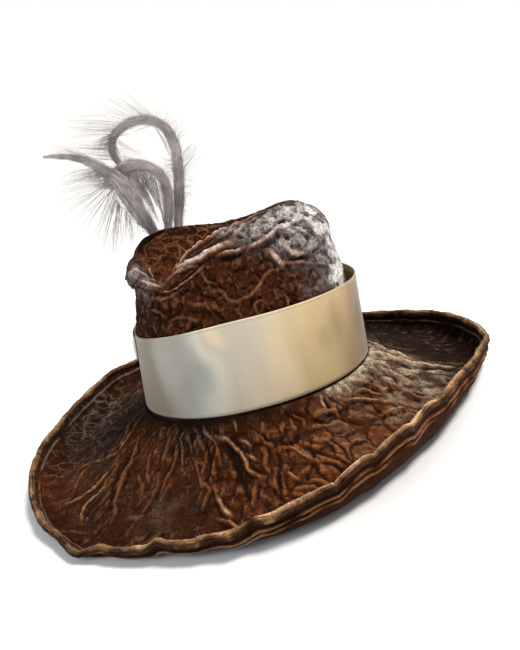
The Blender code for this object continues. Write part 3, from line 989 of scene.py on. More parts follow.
brimFolds = table(
    "angleIn angleOut reachIn reachOut height spread",
    (30, 24, 0.15, 0.80, 2.4, 7),
    (95, 92, 0.15, 0.75, 2.2, 8),
    (140, 148, 0.15, 0.85, 2.4, 7),
    (192, 222, 0.08, 0.95, 3.6, 6),
    (225, 236, 0.25, 0.90, 2.2, 5),
    (246, 252, 0.20, 0.80, 2.6, 5),
    (268, 264, 0.15, 0.75, 3.0, 5),
    (295, 288, 0.30, 0.90, 2.4, 6),
    (322, 316, 0.15, 0.80, 2.6, 6),
    (352, 349, 0.10, 0.90, 3.4, 6),
)
scallopFullness = 0.7
seamLevel = -2.3
seamGap = 0.45
seamLedge = 1.5
ringInset = 12.0
ringInsetRise = 0.4
straightShare = 0.35
hollowPower = 2.1
upturnBulge = 0.1
contactSink = 0.7
rollRadius = 3.2
rollSink = 0.9

# Stitched lines along the rim: away from it, height and spread, above and below
hemPlace = 8.4
hemLines = ((0.0, 0.95, 0.75), (1.9, -0.6, 0.9), (-2.0, -0.45, 1.1))
underLines = ((8.5, 1.2, 0.9), (13.0, 1.0, 1.0), (6.3, -0.9, 1.1), (10.8, -0.8, 0.9))

# Folds of the brim that the photograph shows: height, width, strength of the painted highlight and places
# picked in it; a negative height is a groove with painted shade
brimTraced = (
    (2.4, 1.2, 0.25, "143,409 134,418 128,427 126,436 122,444 115,450 107,451"),
    (2.8, 1.3, 0.35, "144,412 138,422 131,434 125,444 119,453 114,455 105,460 96,462 90,464 81,468 "
        "68,472 64,473"),
    (3.0, 1.4, 0.5, "119,457 114,465 108,474 103,481 96,488 89,494 81,499 70,504 62,506"),
    (2.6, 1.3, 0.55, "108,479 105,489 99,495 94,499 89,503 86,508 82,516 81,524"),
    (2.8, 1.7, 0.08, "140,437 137,446 134,456 131,465 127,470 123,479 120,489 117,496 115,505 116,514"),
    (2.0, 1.2, 0.3, "94,464 86,470 80,479 76,488 72,495"),
    (1.8, 1.1, 0.2, "43,477 53,476 63,477 72,473"),
    (1.6, 1.1, 0.2, "49,465 56,465 63,462"),
    (1.6, 1.1, 0.1, "43,504 58,504 70,500"),
    (2.0, 1.2, 0.2, "177,453 174,462 170,473 165,480 162,489 160,495"),
    (1.8, 1.1, 0.1, "140,473 141,481 143,490 141,501"),
    (2.0, 1.2, 0.4, "50,527 61,531 74,532 86,533"),
    (1.8, 1.2, 0.1, "150,450 149,462 148,475 150,485"),
    (-3.2, 1.8, 0, "131,452 126,462 119,474 114,486 111,498"),
    (-1.8, 1.2, 0, "166,436 163,448 160,460 158,470"),
    (-1.8, 1.2, 0, "176,436 180,446 182,456"),
    (2.0, 1.1, 0.1, "163,432 158,444 154,456"),
    (2.0, 1.1, 0.1, "171,434 168,446 164,458 163,468"),
    (2.0, 1.1, 0.15, "181,440 183,452 182,464 179,474"),
    (2.2, 1.2, 0.2, "193,459 197,465 199,474 201,482 208,486 211,491 209,497 206,504 203,511"),
    (1.8, 1.1, 0.15, "194,427 199,434 202,444 206,455 209,464"),
    (1.8, 1.1, 0.1, "188,436 191,446 193,456"),
    (1.8, 1.1, 0.15, "217,446 218,455 221,467"),
    (2.4, 1.3, 0.3, "203,427 206,434 212,439 216,444 218,449"),
    (3.8, 1.7, 0.6, "216,436 226,440 236,448 242,453 246,461 249,469 254,474 260,476 265,476"),
    (-3.0, 3.2, 0, "222,444 230,452 236,462 240,472 243,482"),
    (-2.6, 1.6, 0, "244,482 247,490 250,500 251,506"),
    (-2.4, 1.5, 0, "197,431 203,440 208,450 211,462 212,475"),
    (2.6, 1.5, 0.2, "216,487 217,495 218,503"),
    (3.0, 1.7, 0.75, "218,499 222,507 228,514 232,518"),
    (2.8, 1.5, 0.45, "218,519 228,522 236,526 245,527 251,523 256,524"),
    (2.6, 1.4, 0.2, "256,480 256,488 254,496 253,507"),
    (-2.6, 1.6, 0, "276,441 278,451 280,463 280,474 281,486 281,499"),
    (-2.4, 1.3, 0, "250,426 255,429 261,435 266,440 276,441 284,436 292,428"),
    (2.4, 1.2, 0.45, "280,447 286,447 295,450 304,456 312,460 321,464"),
    (2.2, 1.2, 0.5, "287,472 293,476 299,481"),
    (2.6, 1.4, 0.35, "295,489 304,488 314,487 330,488"),
    (1.8, 1.1, 0.25, "295,494 307,497"),
    (1.8, 1.1, 0.3, "234,421 236,431"),
    (1.8, 1.1, 0.4, "241,439 246,442 251,447"),
    (1.8, 1.1, 0.4, "247,454 252,457 258,460"),
    (2.0, 1.4, 0.1, "262,446 266,456 264,466 270,472"),
    (-2.8, 1.3, 0, "337,400 338,407 341,415 344,420 352,421 361,423 372,420 380,418 389,420"),
    (-2.6, 1.2, 0, "310,420 318,421 326,423 334,420 344,420"),
    (-2.2, 1.2, 0, "292,417 299,427 309,429 311,423 307,417"),
    (2.4, 1.8, 0.3, "318,412 328,411 337,412 340,417"),
    (2.2, 1.6, 0.2, "311,426 326,425 339,421 346,425 347,429"),
    (-1.8, 1.2, 0, "332,433 344,433 348,428"),
    (2.4, 1.5, 0.65, "339,399 350,400 361,399 372,400 383,403 393,403 398,406"),
    (2.2, 1.5, 0.55, "350,381 361,381 372,384 383,390 389,389"),
    (2.6, 1.6, 0.75, "367,363 377,363 386,367 393,374 402,377 410,381"),
    (2.8, 2.6, 0.95, "371,353 383,354 393,359 404,363 421,365 437,367 452,367"),
    (2.6, 2.6, 0.95, "367,340 377,346 388,352 399,354 410,360"),
    (2.2, 1.5, 0.4, "398,388 404,390 413,395 423,398 435,394 442,392"),
    (2.0, 1.4, 0.4, "378,415 389,412 400,408 413,410"),
    (2.0, 1.4, 0.5, "354,391 365,390 376,394 383,395"),
    (-1.8, 1.2, 0, "374,359 380,360 388,361"),
    (-1.8, 1.3, 0, "402,367 421,369 435,369"),
    (-1.8, 1.3, 0, "385,393 391,390 399,392"),
    (-2.2, 1.4, 0, "417,400 426,403 437,401 448,395"),
    (-1.8, 1.3, 0, "359,371 370,373 378,376 389,377"),
    (-1.8, 1.3, 0, "357,386 370,387 378,389"),
    (2.4, 1.6, 0.8, "322,394 323,401 325,408"),
    (1.8, 1.2, 0.2, "295,446 305,453 319,464"),
    (1.8, 1.2, 0.25, "297,489 312,488 328,487"),
    (1.8, 1.3, 0.15, "305,481 318,481 332,480"),
    (-1.6, 1.2, 0, "321,442 331,446 336,453 346,455"),
    (1.8, 1.4, 0.15, "322,440 331,442 337,448"),
    (1.8, 1.3, 0.1, "346,444 357,440 370,438"),
    (-1.8, 1.2, 0, "286,412 296,419 303,424"),
    (-1.8, 1.2, 0, "306,430 310,442 313,455 318,466"),
    (1.8, 1.3, 0.1, "300,440 308,446 318,448 328,444"),
    (1.6, 1.1, 0.2, "84,408 96,412 104,420 100,432"),
    (1.6, 1.1, 0.2, "92,400 90,414 84,426 92,438 104,436"),
    (1.5, 1.0, 0.2, "104,396 112,404 118,414"),
    (1.5, 1.0, 0.2, "70,432 76,424 84,430 82,440 74,442"),
    (1.5, 1.0, 0.2, "96,440 104,446 112,440 118,430"),
    (1.5, 1.0, 0.2, "110,428 118,428 126,426"),
)

# How the cloth lies round the brim: drawn into long radial folds, crushed into a net, puffed between valleys
gathers = table(
    "angle radial crushed puffed",
    (0, 1.0, 0.4, 0.1),
    (25, 0.2, 0.4, 0.2),
    (90, 0.2, 0.5, 0.3),
    (140, 0.2, 0.7, 0.1),
    (175, 0.1, 0.5, 0.0),
    (200, 0.4, 0.45, 0.0),
    (222, 0.8, 0.4, 0.05),
    (250, 0.6, 0.5, 0.2),
    (268, 0.3, 0.8, 0.5),
    (290, 0.15, 0.8, 1.0),
    (318, 0.3, 0.7, 0.8),
    (340, 1.2, 0.4, 0.3),
)
# Painted sheen patches, then painted light and shade on the rust, the web of highlight lines and painted
# shadows: x y z reach strength, from the floor
brimSheen = (
    (101, -14, 47, 11, 0.9),
    (110, -22, 38, 16, 0.75),
    (128, -22, 26, 18, 0.75),
    (150, -22, 14, 16, 0.55),
    (118, -48, 20, 20, 0.4),
    (108, -78, 20, 22, 0.3),
    (140, -44, 10, 14, 0.45),
    (98, -44, 34, 14, 0.45),
    (62, -90, 26, 34, 0.1),
    (-168, 75, 6, 22, 0.12),
    (-88, -130, 9, 18, 0.07),
)
brimLighting = (
    (-100, -75, 26, 34, 0.35),
    (-60, -115, 20, 36, 0.22),
    (0, -112, 24, 40, 0.5),
    (60, -92, 24, 40, 0.95),
    (74, -100, 12, 30, 0.5),
    (40, -135, 10, 34, 0.55),
    (-10, -150, 8, 30, 0.32),
    (-190, -50, 6, 36, 0.42),
    (110, -60, 22, 34, 0.6),
    (-60, -70, 44, 20, -0.5),
    (-30, -100, 34, 14, -0.4),
    (-130, 20, 30, 40, -0.32),
    (-165, 80, 8, 45, -0.4),
    (160, 70, 10, 80, -0.45),
    (90, 140, 10, 80, -0.4),
)
brimWebs = ((-168, 85, 8, 46, 0.65), (-185, -10, 6, 40, 0.3), (40, -100, 22, 60, -0.1))
brimShadows = (
    (-34, -108, 27, 16, 0.75),
    (-150, 60, 12, 50, 0.4),
    (-60, -75, 40, 16, 0.3),
    (-28, -134, 13, 9, 0.3),
)
# A fringe of painted sheen at the foot of the band: angles where it starts and ends, reach and strength
fringe = {"start": 296.0, "end": 352.0, "reach": 8.0, "strength": 0.85}


def scallopRise(degrees):
    rise = np.zeros(len(degrees))
    for start, end, height in zip(*scallops.values()):
        along = np.clip((degrees - start) / (end - start), 0, 1)
        inside = (degrees >= start) & (degrees <= end)
        rise = np.where(inside, height * (np.sin(math.pi * along) ** scallopFullness - 0.5), rise)
    return rise


def rimCurve(degrees):
    across, deep = circle(degrees)
    places = 200.0 * stacked(across, deep, 0 * deep)
    radius, height = loopColumns(rim, "radius height", degrees)
    radius += 0.9 * noiseAt(places, 17.0, 6.6)
    height += scallopRise(degrees) + 1.2 * noiseAt(places, 14.0, 1.7)
    for angle, spread, out, up in zip(*rimKinks.values()):
        near = bumpAt(degrees, angle, spread)
        radius, height = radius + out * near, height + up * near
    return stacked(radius, height)


def brimProfile(degrees, slopeRows, upturnRows):
    foot = wallPoint(degrees, seamLevel)
    inner = stacked(np.hypot(foot[:, 0], foot[:, 1]) + seamGap, np.full(len(degrees), bandLevel + seamLevel))
    ledge = inner + (seamLedge, 0.0)
    crest = rimCurve(degrees)
    radius, plain, lift = loopColumns(rim, "radius height lift", degrees)
    lowLevel = brimLook["thickness"] / 2 - contactSink + lift
    low = stacked(radius - ringInset - ringInsetRise * (plain + scallopRise(degrees)), lowLevel)
    rows = [inner, ledge]
    for reach in np.linspace(*slopeRows)[1:]:
        drop = straightShare * (1 - reach) + (1 - straightShare) * (1 - reach) ** hollowPower
        height = lowLevel + drop * (inner[:, 1] - lowLevel)
        for angleIn, angleOut, reachIn, reachOut, fold, spread in zip(*brimFolds.values()):
            along = np.clip((reach - reachIn) / (reachOut - reachIn), 0, 1)
            ridge = angleIn + along * turnBetween(angleOut, angleIn)
            height += fold * math.sin(math.pi * along) * bumpAt(degrees, ridge, spread)
        rows.append(stacked(ledge[:, 0] + reach * (low[:, 0] - ledge[:, 0]), height))
    corner = stacked(crest[:, 0] - upturnBulge * (crest[:, 0] - low[:, 0]), low[:, 1])
    last = 1 - (rollRadius - rollSink) / (2 * np.linalg.norm(crest - corner, axis=1))
    for share in np.linspace(*upturnRows):
        t = (share * last)[:, None]
        rows.append((1 - t) ** 2 * low + 2 * t * (1 - t) * corner + t**2 * crest)
    return np.array(rows), crest


def ringPoints(profile, degrees):
    across, deep = circle(degrees)
    return stacked(profile[..., 0] * across, profile[..., 0] * deep, profile[..., 1])


def topRise(top, profile, away, degrees, look):
    across, deep = look["radialTurn"] * np.array(circle(degrees))
    reach = profile[..., 0]
    radial = stacked(across + 0 * reach, deep + 0 * reach, reach / look["radialLength"])
    radial += look["radialWander"] * noiseVectors(top, 15.0, (4.2, 9.9, 15.3))
    drawn, crushed, puffed = loopColumns(gathers, "radial crushed puffed", degrees)
    radialRidges, radialLeans = crushedCells(radial, 1.0, 2.7, 0.15)[:2]
    coarse, fine, slabs, broken, fineBroken = crumpled(top, look)
    ridges, leans = coarse[:2]
    fineRidges, fineLeans, fineDomes, fineTones = fine
    pits, slabLeans, slabDomes, slabTones = slabs
    rise = drawn * (look["radialRise"] * radialRidges + look["radialLean"] * radialLeans)
    rise *= patchy(top, 25.0, 3.3, -0.4, 0.2)
    rise += (1 - 0.7 * drawn) * crushed * (1 - 0.8 * puffed) * look["coarseRise"] * ridges * broken
    rise += (1 - 0.6 * drawn) * crushed * look["lean"] * (leans + fineLeans)
    rise += look["slabLean"] * puffed * slabLeans
    rise += crushed * (1 - 0.5 * puffed) * look["fineRise"] * fineRidges * fineBroken
    rise += (0.2 + 1.4 * puffed) * slabDomes + (0.15 + 0.2 * puffed) * fineDomes
    rise -= (0.7 + 0.8 * puffed) * crushed * pits * np.maximum(1 - broken, puffed)
    rise += look["softRise"] * noiseAt(top, 34.0, 2.2)
    rise *= ease(away, *look["rimReach"]) * ease(reach - reach[0], *look["seamReach"])
    folds, foldHighlight, gaps = tracedRise(top, brimTraced, top[..., 2] > 0)
    folds *= ease(away, *look["rimFoldReach"])
    rise *= 1 - 0.6 * ease(np.abs(folds), 0.8, 2.2)
    lines = lineRise(away - hemPlace - 0.5 * noiseAt(top, 20.0, 7.7), hemLines)
    creased = pits * np.maximum(0.6 * (1 - broken), puffed)
    gaps = np.maximum(gapShade * gaps, 0.8 * creased)
    tones = 1 + 0.6 * slabTones + 0.45 * fineTones
    return np.clip(rise + folds + lines, *riseLimits), foldHighlight, gaps, lines, tones


def makeBrim(look):
    columns, underColumns = look["columns"], look["underColumns"]
    degrees = evenAngles(columns)
    profile, rimPlace = brimProfile(degrees, *look["rows"])
    top = ringPoints(profile, degrees)
    upward = -gridNormals(top)
    top += upward * look["thickness"] / 2
    away = np.linalg.norm(profile - rimPlace, axis=-1)
    rise, foldHighlight, gaps, lines, tones = topRise(top, profile, away, degrees, look)
    crest, shadowed = creaseMarks(rise)
    # Crests get a painted highlight, stronger where the cloth is puffed
    crestHighlight = look["crestHighlight"] + 0.3 * loopValues(gathers, "puffed", degrees)

    # Painted shade beside the band, a fringe of painted sheen at its foot, and the painted sheen patches
    fromSeam = profile[..., 0] - profile[0, :, 0]
    shade = (1 - ease(fromSeam, *look["shadeReach"])) * bumpAt(degrees, *look["shade"])
    shade = np.maximum(shade, 1 - ease(fromSeam, *look["seamShade"]))
    # Sunk relief, the gaps and the side of the band get painted shade
    shadowed = np.maximum(np.maximum(creaseShade * shadowed, gaps), shade)
    fringed = ease(degrees, fringe["start"], fringe["start"] + 20)
    fringed *= 1 - ease(degrees, fringe["end"], fringe["end"] + 8)
    fringeSheen = fringed * bump(fromSeam, fringe["reach"]) * (1 + 1.2 * noiseAt(top, 5.0, 9.1))
    streaks = patchy(top * (0.22, 1.0, 0.6), 6.0, 4.4, -0.35, 0.3)
    # Painted sheen in streaks on the patches, along traced folds, in the fringe and on the hem ridges
    sheened = patchStrength(top, brimSheen) * (0.12 + 1.05 * streaks)
    sheened = np.maximum(np.maximum(sheened, 1.9 * foldHighlight - 0.4), fringe["strength"] * fringeSheen)
    sheened += 0.3 * ease(lines, 0.4, 0.9)
    marks = {
        "crest": np.clip(np.maximum(crestHighlight * crest, foldCrest * foldHighlight), 0, 1),
        "shadowed": np.clip(shadowed + patchStrength(top, brimShadows), 0, 1),
        # Painted light and shade on the rust pile, dimmed by the painted shade beside the band
        "lighted": (look["lighted"] + patchStrength(top, brimLighting)) * (1 - 0.6 * shade) * tones,
        "web": look["web"] + patchStrength(top, brimWebs),
        "dash": np.full(shade.shape, look["dash"]),
    }
    top += upward * rise[..., None]
    speckles = patchy(top, 2.2, 1.9, 0.1, 0.5) * patchy(top, 16.0, 8.7, -0.1, 0.4)
    marks["sheened"] = np.maximum(sheened, 0.12 * speckles * (1 - ease(top[..., 0], -20.0, 40.0)))
    top[..., 2] = np.maximum(top[..., 2], 1.0)

    # The underside, with its rows of stitching: painted highlights on them, painted shade in the grooves, and
    # painted light and sheen on the near side
    underDegrees = evenAngles(underColumns)
    underProfile, underRim = brimProfile(underDegrees, *look["underRows"])
    under = ringPoints(underProfile, underDegrees)
    away = np.linalg.norm(underProfile - underRim, axis=-1)
    grooves = lineRise(away, underLines) + 0.7 * noiseAt(under, 15.0, 2.9) * ease(away, 3.0, 9.0)
    under += gridNormals(under) * (look["thickness"] / 2 + grooves[..., None])
    under[..., 2] = np.maximum(under[..., 2], 0.0)
    nearSide = 0.15 + 0.5 * bumpAt(underDegrees, *look["underLit"]) + 0 * away
    underMarks = {
        "crest": ease(grooves, 0.4, 1.1),
        "shadowed": ease(-grooves, 0.1, 0.6),
        "sheened": 0.4 * ease(grooves, 0.7, 1.2) * nearSide,
        "lighted": nearSide,
    }
    count = shade.size
    faces = gridFaces(len(top), columns) + gridFaces(len(under), underColumns, count)
    faces += seamFaces(0, columns, count, underColumns)
    faces += seamFaces(count - columns, columns, count + away.size - underColumns, underColumns)
    marks = withUnder(marks, underMarks, away.size)
    return makeMesh("brim_cloth", (top, under), faces, makeVelvet("brimVelvet", look["velvet"]), marks)


settle(makeBrim(brimLook), "brim_velvet", "brim")


# The rolled edge. Grooves along it: place round it in radians from outward through up, depth, width. Its top
# and near side get painted light and painted sheen, raised relief a painted highlight and the grooves painted
# shade.
rollLook = {
    "columns": 1080,
    "sides": 20,
    "grooves": ((2.35, 0.6, 0.17), (1.15, 0.5, 0.15), (0.35, 0.6, 0.2), (3.3, 0.6, 0.2)),
    "grooveSway": (0.9, 28.0, 3.9),
    "uneven": ((0.7, 14.0, 9.4), (0.4, 5.0, 2.8)),
    "litSide": (300.0, 75.0),
    "sheenTurn": (1.8, 0.9),
    "litTurn": (1.9, 1.2),
    "velvet": {
        "shader": {
            "Roughness": 0.8, "Sheen Weight": 0.05, "Sheen Roughness": 0.4,
            "Sheen Tint": colour(1.0, 0.88, 0.74),
        },
        "relief": 0.0005,
        "nap": {
            "Deep Shade": colour(0.010, 0.0045, 0.0025), "Body": colour(0.27, 0.102, 0.035),
            "Ridge Highlight": colour(0.48, 0.225, 0.09), "Grey Highlight": colour(0.24, 0.15, 0.09),
            "Sheen Colour": colour(0.70, 0.44, 0.235),
            "Mottle Scale": 90.0, "Crease Scale": 240.0, "Web Scale": 90.0,
        },
    },
}


def makeRoll(look):
    degrees = evenAngles(look["columns"])
    curve = rimCurve(degrees)
    turns = 2 * math.pi * np.arange(look["sides"])[:, None] / look["sides"]
    points = ringPoints(curve + rollRadius * stacked(np.cos(turns), np.sin(turns)), degrees)
    centre = ringPoints(curve[None], degrees)
    sway = noiseSum(centre, [look["grooveSway"]])
    rise = noiseSum(points, look["uneven"])
    for place, depth, width in look["grooves"]:
        rise -= depth * bump(turns - place - sway, width)
    points += unit(points - centre) * rise[..., None]
    side = bumpAt(degrees, *look["litSide"])
    stretches = patchy(centre, 24.0, 7.1, -0.35, 0.3)
    place, spread = look["sheenTurn"]
    sheened = (0.3 + 0.7 * side) * bump(turns - place, spread) * (1 + 0.8 * noiseAt(points, 16.0, 5.2))
    place, spread = look["litTurn"]
    lighted = 0.45 + 0.4 * side + 0.5 * noiseAt(points, 22.0, 6.1)
    lighted *= 0.3 + 0.7 * bump(turns - place, spread)
    marks = {
        "crest": 0.7 * ease(rise, 0.1, 0.5),
        "shadowed": ease(-rise, 0.25, 0.6),
        "sheened": sheened * (0.45 + 0.75 * stretches),
        "lighted": lighted * (0.75 + 0.45 * stretches),
        "web": 0 * lighted,
        "dash": 0 * lighted,
    }
    faces = gridFaces(look["sides"], look["columns"], loop=True)
    return makeMesh("rim_roll", [points], faces, makeVelvet("edgeVelvet", look["velvet"]), marks)


settle(makeRoll(rollLook), "edge_velvet", "edge_roll")


# The satin band and the fold at its left end. Tones: place along the shine, then its colour; they paint the
# satin's reflections and its shade round the band.
satinLook = {
    "columns": 480,
    "outerRows": 44,
    "innerRows": 10,
    "thickness": 0.9,
    "edgeLine": (1.7, 0.5),
    "edgeDepth": 0.22,
    "uneven": ((0.45, 30.0, 3.7), (0.15, 12.0, 8.1)),
    # Painted shade along the stitched lines near the edges, and on the band's inner face
    "edgeShade": 0.45,
    "inside": {"tone": 0.72, "edge": 0.3},
    "darkest": (185.0, 175.0),
    "shader": {"Roughness": 0.45, "Specular IOR Level": 0.35, "Sheen Weight": 0.1, "Sheen Roughness": 0.3},
    "tones": (
        (0.0, 0.20, 0.17, 0.12),
        (0.15, 0.25, 0.215, 0.155),
        (0.24, 0.44, 0.43, 0.36),
        (0.31, 0.66, 0.655, 0.56),
        (0.36, 0.76, 0.69, 0.53),
        (0.44, 0.67, 0.61, 0.475),
        (0.53, 0.93, 0.75, 0.48),
        (0.60, 0.92, 0.73, 0.44),
        (0.67, 0.78, 0.58, 0.30),
        (0.74, 0.73, 0.53, 0.27),
        (0.84, 0.38, 0.25, 0.12),
        (1.0, 0.16, 0.10, 0.055),
    ),
    "shade": colour(0.42, 0.38, 0.30),
    "cloudScale": 26.0,
    "cloudHeight": 0.25,
    "threadScale": 900.0,
    "flatWidth": 0.073,
    "flatLength": 0.565,
}

# Painted shine on the satin: x y z reach and how far the tone moves towards gold, from the floor
satinShine = (
    (-30, -70, 121, 9, 0.2),
    (-20, -72, 112, 7, 0.1),
    (-42, -69, 85, 16, -0.03),
    (-36, -72, 88, 10, -0.045),
    (-52, -67, 70, 9, -0.03),
    (2, -77, 85, 16, -0.02),
    (46, -69, 110, 9, -0.03),
    (60, -65, 90, 7, 0.06),
    (74, -58, 97, 8, 0.05),
    (99, -28, 90, 10, 0.12),
    (-70, -52, 100, 14, 0.04),
)


def makeSatin(name, look):
    made, tree, shader = newMaterial(name, look["shader"])
    place = objectPlace(tree)
    upright = vectorMaths("MULTIPLY", place, (1.0, 1.0, look["cloudHeight"]))
    cloud = noiseFactor(upright, look["cloudScale"], 3.0)
    ramp = addNode(tree, "ShaderNodeValToRGB", {"Fac": mark(tree, "tone")})
    stops = ramp.color_ramp.elements
    while len(stops) < len(look["tones"]):
        stops.new(1.0)
    for stop, (position, *tint) in zip(stops, look["tones"]):
        stop.position, stop.color = position, colour(*tint)
    # Blotches and the edge lines are mixed towards the painted shade colour
    tone = mixColours(ranged(cloud, 0.4, 0.75, 0.0, 0.25), ramp.outputs["Color"], look["shade"])
    addTone(shader, mixColours(mark(tree, "edge"), tone, look["shade"]))
    threads = addNode(
        tree, "ShaderNodeTexWave",
        {"Vector": place, "Scale": look["threadScale"], "Distortion": 1.5, "Detail": 1.0},
        wave_type="BANDS", bands_direction="Z",
    )
    height = maths("ADD", times(threads.outputs["Fac"], 0.3), times(cloud, 2.0))
    addRelief(shader, height, 0.0003, 0.35)
    return made


def makeBand(look, surface):
    degrees = evenAngles(look["columns"])
    lower, upper = loopColumns(band, "lower upper", degrees)
    share = np.linspace(0, 1, look["outerRows"])
    insideShare = np.linspace(1, 0, look["innerRows"])
    outer, inner = [
        np.array([offWall(degrees, lower + one * (upper - lower), bandStand(degrees, one)) for one in shares])
        for shares in (share, insideShare)
    ]
    fromEdge = np.minimum(share, 1 - share)[:, None] * (upper - lower)
    place, spread = look["edgeLine"]
    line = bump(fromEdge - place, spread)
    low = outer * (1.0, 1.0, 0.35)
    rise = noiseSum(low, look["uneven"]) - look["edgeDepth"] * line
    rise = np.maximum(rise, -0.35) * ease(share[:, None], 0.0, 0.05)
    outer += gridNormals(outer) * (look["thickness"] + rise)[..., None]
    # The tone paints the satin's reflections and shade round the band
    start, span = look["darkest"]
    past = np.mod(degrees - start, 360.0)
    tone = np.minimum(past / span, (360.0 - past) / (360.0 - span)) + 0.06 * noiseAt(low, 26.0, 5.9)
    tone += patchStrength(wandered(outer, 14.0, 4.0), satinShine, 0.5)
    inside = {key: np.full(inner[..., 0].size, value) for key, value in look["inside"].items()}
    marks = withUnder({"tone": np.clip(tone, 0, 1), "edge": look["edgeShade"] * line}, inside, 0)
    faces = gridFaces(len(outer) + len(inner), look["columns"], loop=True)
    return makeMesh("satin_band", (outer, inner), faces, surface, marks)


foldLook = {
    "start": 146.0,
    "end": 186.0,
    "lower": 27.0,
    "upper": 64.0,
    "bulge": 4.6,
    "edge": 0.45,
    "taper": 0.45,
    "bandWall": 1.0,
    "gap": 0.6,
    "steps": 48,
    "rows": 24,
    "thickness": 0.9,
    "flatWidth": 0.030,
    "flatLength": 0.066,
}


def foldRing(along, share, extra, look):
    degrees = look["start"] + along * (look["end"] - look["start"])
    lower, upper = loopColumns(band, "lower upper", degrees)
    height = look["upper"] - (look["upper"] - look["lower"]) * (1 - share) * (1 - look["taper"] * along**2)
    arch = np.sin(math.pi * along) * (look["edge"] + (1 - look["edge"]) * math.sin(math.pi * share))
    stand = look["bandWall"] + look["gap"] + look["bulge"] * arch + extra
    return offWall(degrees, height, stand + bandStand(degrees, (height - lower) / (upper - lower)))


def makeFold(look, surface):
    along = np.linspace(0, 1, look["steps"] + 1)
    shares = np.linspace(0, 1, look["rows"])
    rings = [foldRing(along, share, look["thickness"], look) for share in shares]
    rings += [foldRing(along, share, 0.0, look) for share in shares[::-1]]
    index = np.arange(len(rings) * len(along)).reshape(len(rings), len(along))
    above = np.roll(index, -1, 0)
    faces = np.stack((index[:, :-1], index[:, 1:], above[:, 1:], above[:, :-1]), -1).reshape(-1, 4).tolist()
    for column in index[:, [0, -1]].T:
        front, back = column[:look["rows"]], column[:look["rows"] - 1:-1]
        faces += np.stack((front[:-1], front[1:], back[1:], back[:-1]), -1).tolist()
    share = np.concatenate((shares, shares[::-1]))[:, None] + 0 * along
    marks = {
        # Painted reflection along the fold, and painted shade near its edges
        "tone": 0.15 + 0.3 * along + 0 * share,
        "edge": 0.5 * bump(np.minimum(share, 1 - share) - 0.06, 0.03),
    }
    return makeMesh("satin_fold", rings, faces, surface, marks)


satin = makeSatin("champagneSatin", satinLook)
bandPiece = makeBand(satinLook, satin)
settle(bandPiece, "band_satin", "band")
foldPiece = makeFold(foldLook, satin)
settle(foldPiece, "band_satin", "band_fold")


# The plume
plumeLook = {
    "sides": 16,
    "flatness": 0.5,
    "thinnest": 0.4,
    "fluting": (0.82, 0.07, 5, 6),
    "barbSteps": 5,
    "barbPlaces": 240,
    "barbRadius": 0.26,
    "hairSteps": 7,
    "hairShare": 1.7,
    "hairRadius": (0.10, 0.19),
    "rootSink": 3.0,
    "shader": {"Roughness": 0.7, "Sheen Weight": 0.3, "Sheen Roughness": 0.5},
    "deep": colour(0.32, 0.275, 0.28),
    "light": colour(0.66, 0.585, 0.57),
}
feathers = {
    "outerLoop": (100, 1300, table(
        "x y height halfWidth",
        (-43, 73, 104, 1.8),
        (-36, 78, 129, 4.6),
        (-28, 80, 155, 5.4),
        (-21.5, 81, 180, 5.5),
        (-18.5, 81, 203, 5.3),
        (-23, 82, 219, 5.0),
        (-38, 82, 229, 4.5),
        (-57, 81, 229, 4.2),
        (-70, 80, 221, 3.6),
        (-74, 79, 209, 3.2),
        (-71, 78, 199, 2.4),
        (-65, 78, 195, 1.0),
    )),
    "innerArch": (70, 900, table(
        "x y height halfWidth",
        (-46, 72, 104, 1.8),
        (-45, 74, 131, 4.2),
        (-38, 74, 155, 5.2),
        (-36, 74, 172, 5.0),
        (-43, 73, 187, 4.8),
        (-56, 73, 194, 5.4),
        (-70, 72, 194, 6.4),
        (-80, 72, 189, 3.0),
    )),
    "lowVane": (80, 1300, table(
        "x y height halfWidth",
        (-48, 71, 104, 1.8),
        (-58, 69, 130, 4.6),
        (-65, 67, 150, 8.0),
        (-70, 66, 168, 9.4),
        (-76, 65, 186, 8.4),
        (-89, 64, 202, 4.2),
        (-103, 63, 213, 2.8),
        (-118, 62, 219, 2.0),
        (-131, 61, 222, 0.8),
    )),
    "quill": (24, 0, table(
        "x y height halfWidth",
        (-46, 67.75, 52, 1.6),
        (-46, 65.7, 70, 2.2),
        (-46, 67.0, 88, 2.6),
        (-46, 72.0, 108, 3.6),
    )),
}

